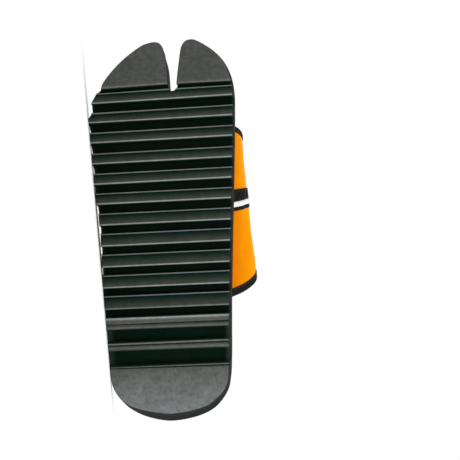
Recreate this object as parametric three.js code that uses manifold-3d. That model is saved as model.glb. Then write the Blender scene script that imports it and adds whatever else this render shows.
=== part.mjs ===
// A right-foot tabi slide: a thick ripple sole whose toe is split beside the big toe, a padded insole let into
// it, and one wide strap that crosses the instep and closes over a short lateral strap.
//
// Everything is worked out in the shoe's own axes, in millimetres: x runs to the lateral side, y from heel to
// toe, z from the ground plane of the lugs up through the foot. The finished shoe is then laid on its lateral
// side, where the sole edge and the strap's flap both touch the surface below.
import * as THREE from "three";
import { mergeVertices } from "three/addons/utils/BufferGeometryUtils.js";
import Module from "manifold-3d";

const wasm = await Module();
wasm.setup();

// ---- driving sizes, mm ------------------------------------------------------------------------------------
const SKEW = 0.0545; // the lugs lean across the sole: y falls by this much for each mm towards the lateral side
const GROOVE_DEPTH = 7; // height of the groove floors over the ground plane
const SHOULDER = 2.2; // height of a lug's low toe-side shoulder
const LUG_LAND = 3; // flat land at a lug's crest
const LUG_DRAFT = 0.7; // how far a groove wall leans over its depth
const FLANK_HIGH = 10; // height at which the sole's sidewall reaches its full outline
const FLANK_TUCK = 1.8; // how far the lug ends stand inside the outline
const HEEL_TUCK = 5.4; // extra tuck under the heel end
const RIM_TUCK = 1.4; // how far the top of the rim stands inside the outline
const RIM_WIDE = 3.2; // rim left round the insole pocket
const SPLIT_RIM = 3.0; // rim left along the toe split
const GAP = 0.3; // clearance between neighbouring pieces
const INSOLE_PROUD = 0.5; // the insole's edge lies this far under the rim
const INSOLE_CROWN = 1.0; // padding of the insole over its middle
const WALL = 3.0; // strap wall
const LAP = 2.2; // how far the main strap steps out to lie over the lateral strap
const FLARE = 3.4; // how far the flap's free end swings out from there
const BIND_THICK = 0.9; // binding cloth, each side
const BIND_WIDE = 5.6; // binding seen on the face of the strap
const BIND_FRONT = 3.9; // and along the main strap's front edge
const TAPE_THICK = 0.7; // stripe tapes on the strap
const PIPE_THICK = 1.2; // white piping between them

// Lying on the lateral side: turned about the sole's normal, leaned, and dropped to the surface.
const LIE_YAW = 4.849; // degrees
const LIE_LEAN = 15.082; // degrees
const PLACE = new THREE.Vector3(137.794, -40.229, 34.692);

// ---- tables -----------------------------------------------------------------------------------------------
// Outline of the sole: its lateral and medial edges at each distance from the heel.
const OUTLINE = [
  { y: 2, lateral: 15, medial: -20.5 },
  { y: 6, lateral: 24, medial: -30.5 },
  { y: 10, lateral: 29, medial: -36.5 },
  { y: 18, lateral: 35, medial: -43 },
  { y: 26, lateral: 39, medial: -46.5 },
  { y: 42, lateral: 41, medial: -47.5 },
  { y: 66, lateral: 43, medial: -47.5 },
  { y: 90, lateral: 45.5, medial: -47.6 },
  { y: 115, lateral: 46.3, medial: -48 },
  { y: 142, lateral: 47.8, medial: -48.6 },
  { y: 170, lateral: 51.6, medial: -49.3 },
  { y: 196, lateral: 54.4, medial: -49.8 },
  { y: 216, lateral: 55.8, medial: -50 },
  { y: 228, lateral: 54.2, medial: -50 },
  { y: 238, lateral: 49.2, medial: -49.8 },
  { y: 250, lateral: 42, medial: -47.5 },
  { y: 260, lateral: 34, medial: -43 },
  { y: 268, lateral: 25.6, medial: -36 },
  { y: 274, lateral: 17.5, medial: -28 },
];
const HEEL_END = { x: -2.5, y: -1 };
const TOE_ENDS = [
  { x: 10, y: 276.9 },
  { x: -4, y: 278.2 },
  { x: -18, y: 278.4 },
];

// Side view of the sole: ground line of the tread, top of the rim on each side, and the floor of the pocket.
const SIDE = [
  { y: -4, tread: 0, rimMedial: 38, rimLateral: 38, bed: 31.5 },
  { y: 25, tread: 0, rimMedial: 37, rimLateral: 36.5, bed: 29.5 },
  { y: 60, tread: 0, rimMedial: 36.5, rimLateral: 35, bed: 29.5 },
  { y: 100, tread: 0, rimMedial: 36, rimLateral: 33, bed: 28.5 },
  { y: 140, tread: 0, rimMedial: 33, rimLateral: 31, bed: 26 },
  { y: 180, tread: 0, rimMedial: 30, rimLateral: 29.3, bed: 24.3 },
  { y: 215, tread: 0, rimMedial: 29, rimLateral: 29, bed: 24 },
  { y: 232, tread: 0.8, rimMedial: 29.6, rimLateral: 29.6, bed: 24.6 },
  { y: 245, tread: 2.4, rimMedial: 31.2, rimLateral: 31.2, bed: 26.2 },
  { y: 262, tread: 6, rimMedial: 34.4, rimLateral: 34.4, bed: 29.4 },
  { y: 280, tread: 11, rimMedial: 38.5, rimLateral: 38.5, bed: 33.5 },
];

// The ripple lugs, measured along the sole's middle: each climbs from a low shoulder to a crest nearer the heel.
const LUGS = [
  { crest: 69, shoulder: 76.5 },
  { crest: 83.5, shoulder: 93 },
  { crest: 99, shoulder: 108 },
  { crest: 114, shoulder: 123 },
  { crest: 129, shoulder: 138 },
  { crest: 144, shoulder: 152.5 },
  { crest: 159, shoulder: 167 },
  { crest: 173.5, shoulder: 181.5 },
  { crest: 188, shoulder: 196 },
  { crest: 203, shoulder: 211 },
  { crest: 217.5, shoulder: 225.5 },
  { crest: 232, shoulder: 240 },
];
// Between the lugs and the heel pad: wide grooves, each with a low ledge on its heel side.
const HEEL_STEPS = [
  { groove: 44.2, grooveEnd: 51.2, ledge: 42, land: 41 },
  { groove: 60, grooveEnd: 68.3, ledge: 58, land: 57 },
];
const TOE_PAD = 243; // rear edge of the smooth toe pad
const TOE_GROOVE = 3.2; // depth of the narrow groove behind it

// The toe split: the inner edges of the two lobes.
const SPLIT = [
  { y: 290, lateral: 16, medial: -24 },
  { y: 277.4, lateral: 7.5, medial: -16.5 },
  { y: 275.4, lateral: 4.4, medial: -12.6 },
  { y: 272.5, lateral: 2.3, medial: -10.9 },
  { y: 263, lateral: 0, medial: -9.9 },
  { y: 252, lateral: -1.8, medial: -9.1 },
  { y: 243, lateral: -2.2, medial: -8.6 },
  { y: 240.4, lateral: -2.9, medial: -7.9 },
  { y: 238.9, lateral: -4.6, medial: -6.2 },
];

// The instep that the strap is shaped over: how wide it stands on each side, how high its widest line is, and
// its ridge.
const INSTEP = [
  { y: 84, medial: -62.4, lateral: 48.4, wideHigh: 61.5, top: 99 },
  { y: 95, medial: -62.4, lateral: 50, wideHigh: 61.5, top: 98 },
  { y: 109, medial: -61.8, lateral: 51.4, wideHigh: 61.3, top: 96 },
  { y: 122, medial: -60.2, lateral: 51.8, wideHigh: 60.5, top: 93.5 },
  { y: 134, medial: -58.8, lateral: 51.4, wideHigh: 59.2, top: 90.6 },
  { y: 147, medial: -57.3, lateral: 50.6, wideHigh: 57.5, top: 87 },
  { y: 160, medial: -56, lateral: 49.6, wideHigh: 55.6, top: 83.4 },
  { y: 172, medial: -54.6, lateral: 48.4, wideHigh: 53.8, top: 80 },
  { y: 190, medial: -52.8, lateral: 46.8, wideHigh: 51, top: 75.4 },
  { y: 220, medial: -50.4, lateral: 44.4, wideHigh: 46.5, top: 69.5 },
];
const RIDGE_X = -7; // the instep's ridge stands to the medial side
const FULLNESS = 2.15; // exponent of the arch over the instep, 2 being an ellipse
const MEDIAL_RISE = 0.22; // share of the way round where the medial side is widest
const LATERAL_RISE = 0.78; // and the lateral side

// Rear and front edges of the main strap and of the lateral strap, on the way round from the medial side.
const MAIN_EDGES = [
  { round: 0, rear: 85.5, front: 217.5 },
  { round: 0.1, rear: 89, front: 217 },
  { round: 0.22, rear: 98.5, front: 213.5 },
  { round: 0.36, rear: 110, front: 207 },
  { round: 0.5, rear: 116.5, front: 201 },
  { round: 0.62, rear: 114, front: 196.5 },
  { round: 0.7, rear: 108, front: 193.5 },
  { round: 0.78, rear: 101.5, front: 190.5 },
];
const LATERAL_EDGES = [
  { round: 0.6, rear: 122, front: 173 },
  { round: 0.66, rear: 113, front: 174.5 },
  { round: 0.7, rear: 105.5, front: 175.5 },
  { round: 0.74, rear: 100, front: 176.5 },
  { round: 0.78, rear: 96.5, front: 177.5 },
  { round: 0.9, rear: 91.5, front: 179 },
  { round: 1, rear: 90, front: 180 },
];
const FLAP_END = 0.78; // where the flap stops on the way round
const FLAP_ROUND = 0.03; // share of the way round taken by its rounded corners
const FLAP_CORNER = 8; // how far those corners come in
const STEP_FROM = 0.5; // the main strap starts to step out over the lateral one
const STEP_TO = 0.59;
const FLARE_FROM = 0.7; // the flap starts to stand off
const LATERAL_TOP = 0.62; // upper end of the lateral strap, under the flap
// The stripe across the strap: its middle on the way round, and its tapes from front to rear, measured from there.
const STRIPE = [
  { round: 0, middle: 160 },
  { round: 0.1, middle: 163 },
  { round: 0.22, middle: 167 },
  { round: 0.36, middle: 166.5 },
  { round: 0.5, middle: 163 },
  { round: 0.78, middle: 153 },
];
const TAPES = [
  { name: "stripe_front", look: "binding", rear: -2, front: 7.6, thick: TAPE_THICK },
  { name: "stripe_piping", look: "piping", rear: -5.6, front: -2.3, thick: PIPE_THICK },
  { name: "stripe_rear", look: "binding", rear: -8.5, front: -5.9, thick: TAPE_THICK },
];
const TRIM_FROM = 0.08; // bindings and stripe start here, just over the rim
const FLAP_TRIM_FROM = 0.735; // the flap's own binding takes over here
const PER_MM = 1 / 265; // share of the way round that one mm takes down the flap

// ---- helpers ----------------------------------------------------------------------------------------------
const mix = (a, b, t) => a + (b - a) * t;
const clamp01 = (t) => Math.min(1, Math.max(0, t));
const soft = (a, b, t) => {
  const u = clamp01((t - a) / (b - a));
  return u * u * (3 - 2 * u);
};

// Smooth curve through one column of a table, without overshoot.
function column(rows, key, name) {
  const xs = rows.map((r) => r[key]);
  const ys = rows.map((r) => r[name]);
  const n = xs.length;
  const slope = [];
  for (let i = 0; i < n - 1; i++) slope.push((ys[i + 1] - ys[i]) / (xs[i + 1] - xs[i]));
  const m = ys.map((_, i) => {
    if (i === 0) return slope[0];
    if (i === n - 1) return slope[n - 2];
    if (slope[i - 1] * slope[i] <= 0) return 0;
    const wa = 2 * (xs[i + 1] - xs[i]) + (xs[i] - xs[i - 1]);
    const wb = xs[i + 1] - xs[i] + 2 * (xs[i] - xs[i - 1]);
    return (wa + wb) / (wa / slope[i - 1] + wb / slope[i]);
  });
  return (x) => {
    if (x <= xs[0]) return ys[0] + m[0] * (x - xs[0]);
    if (x >= xs[n - 1]) return ys[n - 1] + m[n - 1] * (x - xs[n - 1]);
    let i = 0;
    while (x > xs[i + 1]) i++;
    const h = xs[i + 1] - xs[i];
    const t = (x - xs[i]) / h;
    const a = 2 * t * t * t - 3 * t * t + 1;
    const b = t * t * t - 2 * t * t + t;
    const c = -2 * t * t * t + 3 * t * t;
    const d = t * t * t - t * t;
    return a * ys[i] + b * h * m[i] + c * ys[i + 1] + d * h * m[i + 1];
  };
}

// A closed mesh from points and triangles, as a solid.
function solid(points, triangles) {
  const made = new wasm.Manifold(
    new wasm.Mesh({
      numProp: 3,
      vertProperties: new Float32Array(points.flat()),
      triVerts: new Uint32Array(triangles.flat()),
    }),
  );
  return made;
}
function solidOf(geometry) {
  const bare = geometry.clone();
  for (const name of Object.keys(bare.attributes)) if (name !== "position") bare.deleteAttribute(name);
  const merged = mergeVertices(bare, 1e-4);
  return new wasm.Manifold(
    new wasm.Mesh({
      numProp: 3,
      vertProperties: new Float32Array(merged.attributes.position.array),
      triVerts: new Uint32Array(merged.index.array),
    }),
  );
}
function geometryOf(body) {
  const mesh = body.getMesh();
  const geometry = new THREE.BufferGeometry();
  const stride = mesh.numProp;
  const count = mesh.vertProperties.length / stride;
  const xyz = new Float32Array(count * 3);
  for (let i = 0; i < count; i++)
    for (let k = 0; k < 3; k++) xyz[3 * i + k] = mesh.vertProperties[stride * i + k];
  geometry.setAttribute("position", new THREE.BufferAttribute(xyz, 3));
  geometry.setIndex(Array.from(mesh.triVerts));
  geometry.computeVertexNormals();
  return geometry;
}

// Rings of equal length, joined side by side and capped at both ends.
function loft(rings) {
  const n = rings[0].length;
  const points = rings.flat();
  const triangles = [];
  for (let r = 0; r < rings.length - 1; r++)
    for (let i = 0; i < n; i++) {
      const a = r * n + i;
      const b = r * n + ((i + 1) % n);
      triangles.push([a, b + n, b], [a, a + n, b + n]);
    }
  // An end ring faces out: the first is walked forwards, the last backwards.
  const cap = (start, forward) => {
    const flat = points.slice(start, start + n).map((p) => new THREE.Vector2(p[0], p[2]));
    const whole = Math.sign(THREE.ShapeUtils.area(flat));
    for (const [a, b, c] of THREE.ShapeUtils.triangulateShape(flat.slice(), [])) {
      const turn = Math.sign(THREE.ShapeUtils.area([flat[a], flat[b], flat[c]])) * whole;
      const face = turn > 0 === forward ? [a, b, c] : [a, c, b];
      triangles.push(face.map((k) => start + k));
    }
  };
  cap(0, true);
  cap((rings.length - 1) * n, false);
  return solid(points, triangles);
}

// ---- outline of the sole ----------------------------------------------------------------------------------
const outline = (() => {
  const around = [];
  around.push([HEEL_END.x, HEEL_END.y]);
  for (const row of OUTLINE) around.push([row.lateral, row.y]);
  for (const end of TOE_ENDS) around.push([end.x, end.y]);
  for (const row of [...OUTLINE].reverse()) around.push([row.medial, row.y]);
  const curve = new THREE.CatmullRomCurve3(
    around.map(([x, y]) => new THREE.Vector3(x, y, 0)),
    true,
    "centripetal",
  );
  const pts = curve.getPoints(720).slice(0, -1);
  return pts.map((p, i) => {
    const a = pts[(i + pts.length - 1) % pts.length];
    const b = pts[(i + 1) % pts.length];
    const t = new THREE.Vector2(b.x - a.x, b.y - a.y).normalize();
    return { x: p.x, y: p.y, nx: t.y, ny: -t.x };
  });
})();

// Both edges of the sole on a line across it, with their outward directions. skew 0 is square to the shoe.
function edges(v, skew) {
  let lateral = null;
  let medial = null;
  const n = outline.length;
  for (let i = 0; i < n; i++) {
    const a = outline[i];
    const b = outline[(i + 1) % n];
    const va = a.y + skew * a.x - v;
    const vb = b.y + skew * b.x - v;
    if (va === vb || va * vb > 0) continue;
    const t = va / (va - vb);
    const hit = { x: mix(a.x, b.x, t), y: mix(a.y, b.y, t), nx: mix(a.nx, b.nx, t), ny: mix(a.ny, b.ny, t) };
    if (!lateral || hit.x > lateral.x) lateral = hit;
    if (!medial || hit.x < medial.x) medial = hit;
  }
  return { lateral, medial };
}
const span = (skew) => {
  const vs = outline.map((p) => p.y + skew * p.x);
  return [Math.min(...vs), Math.max(...vs)];
};
const inset = (edge, by) => [edge.x - by * edge.nx, edge.y - by * edge.ny];

const tread = column(SIDE, "y", "tread");
const rimMedial = column(SIDE, "y", "rimMedial");
const rimLateral = column(SIDE, "y", "rimLateral");
const bed = column(SIDE, "y", "bed");

// ---- tread profile along the sole -------------------------------------------------------------------------
// Every break of the tread, from heel to toe, as distance and height over the tread's ground line.
function treadBreaks() {
  const out = [];
  const flat = (from, to, step) => {
    for (let v = from; v < to; v += step) out.push([v, 0]);
  };
  flat(8, HEEL_STEPS[0].land - 2, 6);
  for (const step of HEEL_STEPS) {
    out.push([step.land, 0]);
    out.push([step.land + 0.5, 2.6]);
    out.push([step.ledge + 1.2, 2.6]);
    out.push([step.groove, GROOVE_DEPTH]);
    out.push([step.grooveEnd - LUG_DRAFT, GROOVE_DEPTH]);
    if (step === HEEL_STEPS[0]) out.push([step.grooveEnd, 0.5], [54, 0]);
  }
  LUGS.forEach((lug, i) => {
    const long = lug.shoulder - lug.crest;
    out.push([lug.crest, 0]);
    out.push([lug.crest + LUG_LAND, 0]);
    out.push([lug.crest + LUG_LAND + 0.55 * (long - LUG_LAND), 0.55]);
    out.push([lug.shoulder, SHOULDER]);
    const next = LUGS[i + 1];
    if (next) {
      out.push([lug.shoulder + LUG_DRAFT, GROOVE_DEPTH - 0.6]);
      out.push([next.crest - LUG_DRAFT, GROOVE_DEPTH]);
    }
  });
  const last = LUGS[LUGS.length - 1].shoulder;
  out.push([last + 0.4, TOE_GROOVE], [TOE_PAD - 0.8, TOE_GROOVE], [TOE_PAD, 0]);
  flat(TOE_PAD + 4, 272, 4.5);
  return out;
}

// ---- the sole ---------------------------------------------------------------------------------------------
const tuckAt = (y, high) => {
  const heel = 1 - soft(2, 26, y);
  return (FLANK_TUCK + HEEL_TUCK * heel) * Math.pow(clamp01(1 - high / FLANK_HIGH), 1.3);
};
function soleBody() {
  const [first, last] = span(SKEW);
  const rows = [];
  for (const share of [0.15, 0.8, 2.2, 4.6]) rows.push([first + share, 0]);
  rows.push(...treadBreaks());
  for (const share of [4.6, 2.2, 0.8, 0.15]) rows.push([last - share, 0]);
  const rings = rows.map(([v, cut]) => {
    const { lateral, medial } = edges(v, SKEW);
    const foot = (edge) => {
      const low = tread(edge.y) + cut;
      const tuck = tuckAt(edge.y, cut);
      return [...inset(edge, tuck), low];
    };
    const flank = (edge) => [...inset(edge, 0), tread(edge.y) + FLANK_HIGH];
    const cheek = (edge, rim) => [...inset(edge, 0.3), rim(edge.y) - 5];
    const lip = (edge, rim) => [...inset(edge, RIM_TUCK), rim(edge.y)];
    return [
      foot(medial),
      foot(lateral),
      flank(lateral),
      cheek(lateral, rimLateral),
      lip(lateral, rimLateral),
      lip(medial, rimMedial),
      cheek(medial, rimMedial),
      flank(medial),
    ];
  });
  return loft(rings);
}

// A slab inside the outline, from a floor to a roof, both given over the plan.
function slab(by, floor, roof, steps, across) {
  const [first, last] = span(0);
  const rings = [];
  for (let i = 0; i <= steps; i++) {
    const share = (1 - Math.cos((Math.PI * i) / steps)) / 2;
    const v = mix(first + 0.12, last - 0.12, share);
    const { lateral, medial } = edges(v, 0);
    const a = inset(medial, by);
    const b = inset(lateral, by);
    const ring = [];
    for (let k = 0; k <= across; k++) {
      const t = k / across;
      const x = mix(a[0], b[0], t);
      const y = mix(a[1], b[1], t);
      ring.push([x, y, floor(x, y, t)]);
    }
    for (let k = across; k >= 0; k--) {
      const t = k / across;
      const x = mix(a[0], b[0], t);
      const y = mix(a[1], b[1], t);
      ring.push([x, y, roof(x, y, t)]);
    }
    rings.push(ring);
  }
  return loft(rings);
}

// The split's prism, grown all round by a margin.
function splitPrism(grow) {
  const edge = [];
  for (const row of SPLIT) edge.push(new THREE.Vector2(row.medial, row.y));
  for (const row of [...SPLIT].reverse()) edge.push(new THREE.Vector2(row.lateral, row.y));
  const grown = edge.map((p, i) => {
    if (!grow) return p;
    const a = edge[(i + edge.length - 1) % edge.length];
    const b = edge[(i + 1) % edge.length];
    const t = b.clone().sub(a).normalize();
    return new THREE.Vector2(p.x - t.y * grow * SPLIT_TURN, p.y + t.x * grow * SPLIT_TURN);
  });
  const geometry = new THREE.ExtrudeGeometry(new THREE.Shape(grown), {
    depth: 90,
    bevelEnabled: false,
    steps: 1,
    curveSegments: 4,
  });
  geometry.translate(0, 0, -20);
  return solidOf(geometry);
}
const SPLIT_TURN = -1;

// ---- the strap's own surface ------------------------------------------------------------------------------
const wideMedial = column(INSTEP, "y", "medial");
const wideLateral = column(INSTEP, "y", "lateral");
const wideHigh = column(INSTEP, "y", "wideHigh");
const ridge = column(INSTEP, "y", "top");

const bezier = (a, b, c, d, t) => {
  const u = 1 - t;
  return u * u * u * a + 3 * u * u * t * b + 3 * u * t * t * c + t * t * t * d;
};
// Inner surface of the strap: a point at a share of the way round, at a distance from the heel.
function instep(round, y) {
  const { lateral, medial } = edges(y, 0);
  const wide = wideHigh(y);
  const root = RIM_WIDE + GAP + WALL;
  if (round < MEDIAL_RISE) {
    const t = round / MEDIAL_RISE;
    const x = medial.x + root;
    const rim = rimMedial(y);
    return [
      bezier(x, x, wideMedial(y), wideMedial(y), t),
      y,
      bezier(bed(y) + GAP, rim + 3.5, wide - 13, wide, t),
    ];
  }
  if (round > LATERAL_RISE) {
    const t = (1 - round) / (1 - LATERAL_RISE);
    const x = lateral.x - root;
    const rim = rimLateral(y);
    return [
      bezier(x, x, wideLateral(y), wideLateral(y), t),
      y,
      bezier(bed(y) + GAP, rim + 3.5, wide - 13, wide, t),
    ];
  }
  const turn = (Math.PI * (round - MEDIAL_RISE)) / (LATERAL_RISE - MEDIAL_RISE);
  const c = Math.cos(turn);
  const s = Math.sin(turn);
  const reach = c > 0 ? RIDGE_X - wideMedial(y) : wideLateral(y) - RIDGE_X;
  const out = Math.sign(c) * Math.pow(Math.abs(c), 2 / FULLNESS);
  return [RIDGE_X - reach * out, y, wide + (ridge(y) - wide) * Math.pow(s, 2 / FULLNESS)];
}
function outward(round, y) {
  const e = 0.004;
  const a = instep(round - e, y);
  const b = instep(round + e, y);
  const c = instep(round, y - 0.5);
  const d = instep(round, y + 0.5);
  const u = new THREE.Vector3(b[0] - a[0], b[1] - a[1], b[2] - a[2]);
  const w = new THREE.Vector3(d[0] - c[0], d[1] - c[1], d[2] - c[2]);
  return u.cross(w).normalize();
}
function strapPoint(round, y, out) {
  const p = instep(round, y);
  const n = outward(round, y);
  return [p[0] + n.x * out, p[1] + n.y * out, p[2] + n.z * out];
}

// A closed sheet on that surface, between two stations round the foot, its rear and front edges, and two
// distances out from the surface.
function sheet({ from, to, steps, rear, front, across, inner, outer }) {
  const rings = [];
  for (let i = 0; i <= steps; i++) {
    const round = mix(from, to, i / steps);
    const ring = [];
    const a = rear(round);
    const b = front(round);
    for (let k = 0; k <= across; k++) ring.push(strapPoint(round, mix(a, b, k / across), inner(round)));
    for (let k = across; k >= 0; k--) ring.push(strapPoint(round, mix(a, b, k / across), outer(round)));
    rings.push(ring);
  }
  const n = rings[0].length;
  const points = rings.flat();
  const triangles = [];
  for (let r = 0; r < rings.length - 1; r++)
    for (let i = 0; i < n; i++) {
      const a = r * n + i;
      const b = r * n + ((i + 1) % n);
      triangles.push([a, b, b + n], [a, b + n, a + n]);
    }
  const end = (rings.length - 1) * n;
  for (let k = 0; k < across; k++) {
    const lo = k;
    const hi = n - 1 - k;
    triangles.push([lo, hi - 1, lo + 1], [lo, hi, hi - 1]);
    triangles.push([end + lo, end + lo + 1, end + hi - 1], [end + lo, end + hi - 1, end + hi]);
  }
  return solid(points, triangles);
}

const mainRear = column(MAIN_EDGES, "round", "rear");
const mainFront = column(MAIN_EDGES, "round", "front");
const lateralRear = column(LATERAL_EDGES, "round", "rear");
const lateralFront = column(LATERAL_EDGES, "round", "front");
const stripeLine = column(STRIPE, "round", "middle");

// How far out the main strap's inner face lies: on the instep, then over the lateral strap, then flaring.
const mainInner = (round) =>
  LAP * soft(STEP_FROM, STEP_TO, round) + FLARE * Math.pow(Math.max(0, round - FLARE_FROM) / (FLAP_END - FLARE_FROM), 1.6);
const mainOuter = (round) => mainInner(round) + WALL;
const corner = (round, grow) => {
  const end = FLAP_END + grow;
  const t = clamp01((round - (end - FLAP_ROUND)) / FLAP_ROUND);
  return FLAP_CORNER * (1 - Math.sqrt(1 - 0.985 * t * t));
};

// The main strap, grown by a margin over its faces and edges. The end margin is a share of the way round.
function mainStrap(grow, edge, endGrow, rootGrow) {
  return sheet({
    from: -rootGrow,
    to: FLAP_END + endGrow,
    steps: MAIN_STEPS,
    rear: (r) => mainRear(r) - edge + corner(r, endGrow),
    front: (r) => mainFront(r) + edge - corner(r, endGrow),
    across: 7,
    inner: (r) => mainInner(r) - grow,
    outer: (r) => mainOuter(r) + grow,
  });
}
function lateralStrap(grow, edge, topGrow, rootGrow) {
  return sheet({
    from: LATERAL_TOP - topGrow,
    to: 1 + rootGrow,
    steps: LATERAL_STEPS,
    rear: (r) => lateralRear(r) - edge,
    front: (r) => lateralFront(r) + edge,
    across: 5,
    inner: () => -grow,
    outer: () => WALL + grow,
  });
}

const MAIN_STEPS = 39;
const LATERAL_STEPS = 19;

// ---- the pieces -------------------------------------------------------------------------------------------
const main = mainStrap(0, 0, 0, 0);
const side = lateralStrap(0, 0, 0, 0);
const upper = main.add(side);
const upperRoom = mainStrap(GAP, GAP, GAP * PER_MM, 0.006).add(lateralStrap(GAP, GAP, 0.002, 0.006));

const high = () => 70;
const pocket = slab(RIM_WIDE, (x, y) => bed(y), high, 40, 4).subtract(splitPrism(SPLIT_RIM));
const sole = soleBody().subtract(splitPrism(0)).subtract(pocket).subtract(upperRoom);

const cushion = (x, y, t) => {
  const rim = mix(rimMedial(y), rimLateral(y), t);
  return mix(rim - INSOLE_PROUD, bed(y) + 4 + INSOLE_CROWN, Math.pow(Math.sin(Math.PI * t), 0.6));
};
const insole = slab(RIM_WIDE + GAP, (x, y) => bed(y) + GAP, cushion, 40, 6)
  .subtract(splitPrism(SPLIT_RIM + GAP))
  .subtract(upperRoom);

const colours = {
  sole: { color: 0x232524, roughness: 0.75, metalness: 0 },
  insole: { color: 0x1b1b1b, roughness: 0.85, metalness: 0 },
  upper: { color: 0xff9c12, roughness: 0.55, metalness: 0 },
  binding: { color: 0x121212, roughness: 0.9, metalness: 0 },
  piping: { color: 0xf2f2ee, roughness: 0.8, metalness: 0 },
};
const shoe = new THREE.Group();
function add(name, body, look) {
  const mesh = new THREE.Mesh(geometryOf(body), new THREE.MeshStandardMaterial(colours[look]));
  mesh.name = name;
  shoe.add(mesh);
}
add("sole", sole, "sole");
add("insole", insole, "insole");
add("upper", upper, "upper");

// Bindings fold over the strap's edges, so each is the room round an edge less the strap's own room.
const fold = GAP + BIND_THICK;
const folded = (from, to, steps, rear, front, inner, outer) =>
  sheet({ from, to, steps, rear, front, across: 1, inner: (r) => inner(r) - fold, outer: (r) => outer(r) + fold });
const flapTrimEnd = FLAP_TRIM_FROM - GAP * PER_MM;
const bindingFront = folded(
  TRIM_FROM,
  flapTrimEnd,
  30,
  (r) => mainFront(r) - BIND_FRONT,
  (r) => mainFront(r) + fold,
  mainInner,
  mainOuter,
).subtract(upperRoom);
const bindingRear = folded(
  TRIM_FROM,
  flapTrimEnd,
  30,
  (r) => mainRear(r) - fold,
  (r) => mainRear(r) + BIND_WIDE,
  mainInner,
  mainOuter,
).subtract(upperRoom);
const flapForm = (from, end, edge, out, steps) =>
  sheet({
    from,
    to: FLAP_END + end * PER_MM,
    steps,
    rear: (r) => mainRear(r) - edge + corner(r, end * PER_MM),
    front: (r) => mainFront(r) + edge - corner(r, end * PER_MM),
    across: 6,
    inner: (r) => mainInner(r) - out,
    outer: (r) => mainOuter(r) + out,
  });
const bindingFlap = flapForm(FLAP_TRIM_FROM, fold, fold, fold, 10)
  .subtract(flapForm(FLAP_TRIM_FROM - 0.05, -BIND_WIDE, -BIND_WIDE, 2 * fold, 10))
  .subtract(upperRoom);
const lateralTrim = (from, to, rear, front) =>
  folded(from, to, 10, rear, front, () => 0, () => WALL).subtract(upperRoom);
const trimRoom = mainStrap(fold + 2 * GAP, fold + 2 * GAP, (fold + 3 * GAP) * PER_MM, 0);
const bindingLateralRear = lateralTrim(0.72, 1 - TRIM_FROM, (r) => lateralRear(r) - fold, (r) => lateralRear(r) + BIND_WIDE).subtract(trimRoom);
const bindingLateralFront = lateralTrim(0.8, 1 - TRIM_FROM, (r) => lateralFront(r) - BIND_WIDE, (r) => lateralFront(r) + fold).subtract(trimRoom);
add("binding_front", bindingFront, "binding");
add("binding_rear", bindingRear, "binding");
add("binding_flap", bindingFlap, "binding");
add("binding_lateral_rear", bindingLateralRear, "binding");
add("binding_lateral_front", bindingLateralFront, "binding");

for (const tape of TAPES)
  add(
    tape.name,
    sheet({
      from: TRIM_FROM,
      to: FLAP_TRIM_FROM - GAP * PER_MM,
      steps: 36,
      rear: (r) => stripeLine(r) + tape.rear,
      front: (r) => stripeLine(r) + tape.front,
      across: 1,
      inner: (r) => mainOuter(r) + GAP,
      outer: (r) => mainOuter(r) + GAP + tape.thick,
    }),
    tape.look,
  );

// The shoe lies on its lateral side: that side down, sole upright, toe towards -x.
const onSide = new THREE.Matrix4().makeBasis(
  new THREE.Vector3(0, 0, -1),
  new THREE.Vector3(-1, 0, 0),
  new THREE.Vector3(0, 1, 0),
);
shoe.quaternion.setFromRotationMatrix(onSide);
const turned = new THREE.Group();
turned.rotation.y = THREE.MathUtils.degToRad(LIE_YAW);
turned.add(shoe);
const lying = new THREE.Group();
lying.rotation.x = THREE.MathUtils.degToRad(LIE_LEAN);
lying.position.copy(PLACE);
lying.add(turned);
export default lying;
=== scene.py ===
import math

import bmesh
import bpy
import numpy as np
from mathutils import Matrix, Vector


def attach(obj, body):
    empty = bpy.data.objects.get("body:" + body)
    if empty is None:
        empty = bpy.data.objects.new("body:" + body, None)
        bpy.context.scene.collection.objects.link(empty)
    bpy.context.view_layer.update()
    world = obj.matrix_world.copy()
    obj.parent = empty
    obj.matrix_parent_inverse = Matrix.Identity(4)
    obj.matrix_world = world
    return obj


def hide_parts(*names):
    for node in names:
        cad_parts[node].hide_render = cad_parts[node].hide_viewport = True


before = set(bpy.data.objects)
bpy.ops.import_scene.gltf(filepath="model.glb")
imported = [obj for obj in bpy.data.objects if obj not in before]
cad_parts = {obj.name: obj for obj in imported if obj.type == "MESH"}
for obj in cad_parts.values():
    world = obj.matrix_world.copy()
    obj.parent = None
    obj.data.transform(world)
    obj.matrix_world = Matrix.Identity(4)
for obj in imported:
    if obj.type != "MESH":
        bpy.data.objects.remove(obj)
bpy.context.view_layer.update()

# ---- the shoe's own axes: x lateral, y heel to toe, z ground to up, in mm ----------------------------------
LEAN, YAW = math.radians(15.082), math.radians(4.849)
PLACE = np.array([137.794, -40.229, 34.692])
RX = np.array([[1, 0, 0], [0, math.cos(LEAN), -math.sin(LEAN)], [0, math.sin(LEAN), math.cos(LEAN)]])
RY = np.array([[math.cos(YAW), 0, math.sin(YAW)], [0, 1, 0], [-math.sin(YAW), 0, math.cos(YAW)]])
TURN = RX @ RY @ np.array([[0, -1, 0], [0, 0, 1], [-1, 0, 0]], float)


def row(points):
    """Points in the shoe's axes, mm, to the row frame, m."""
    return (np.asarray(points, float) @ TURN.T + PLACE) / 1000


SKEW = 0.049
GROOVE = 7.0
TUCK, HEEL_TUCK, FLANK = 1.1, 7.2, 10.0
RIM_WIDE, SPLIT_RIM = 3.2, 3.0
WALL, LAP, FLARE = 3.0, 2.2, 3.4
FLARE_FROM, FLAP_END = 0.7, 0.78
PER_MM = 1 / 265

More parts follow.
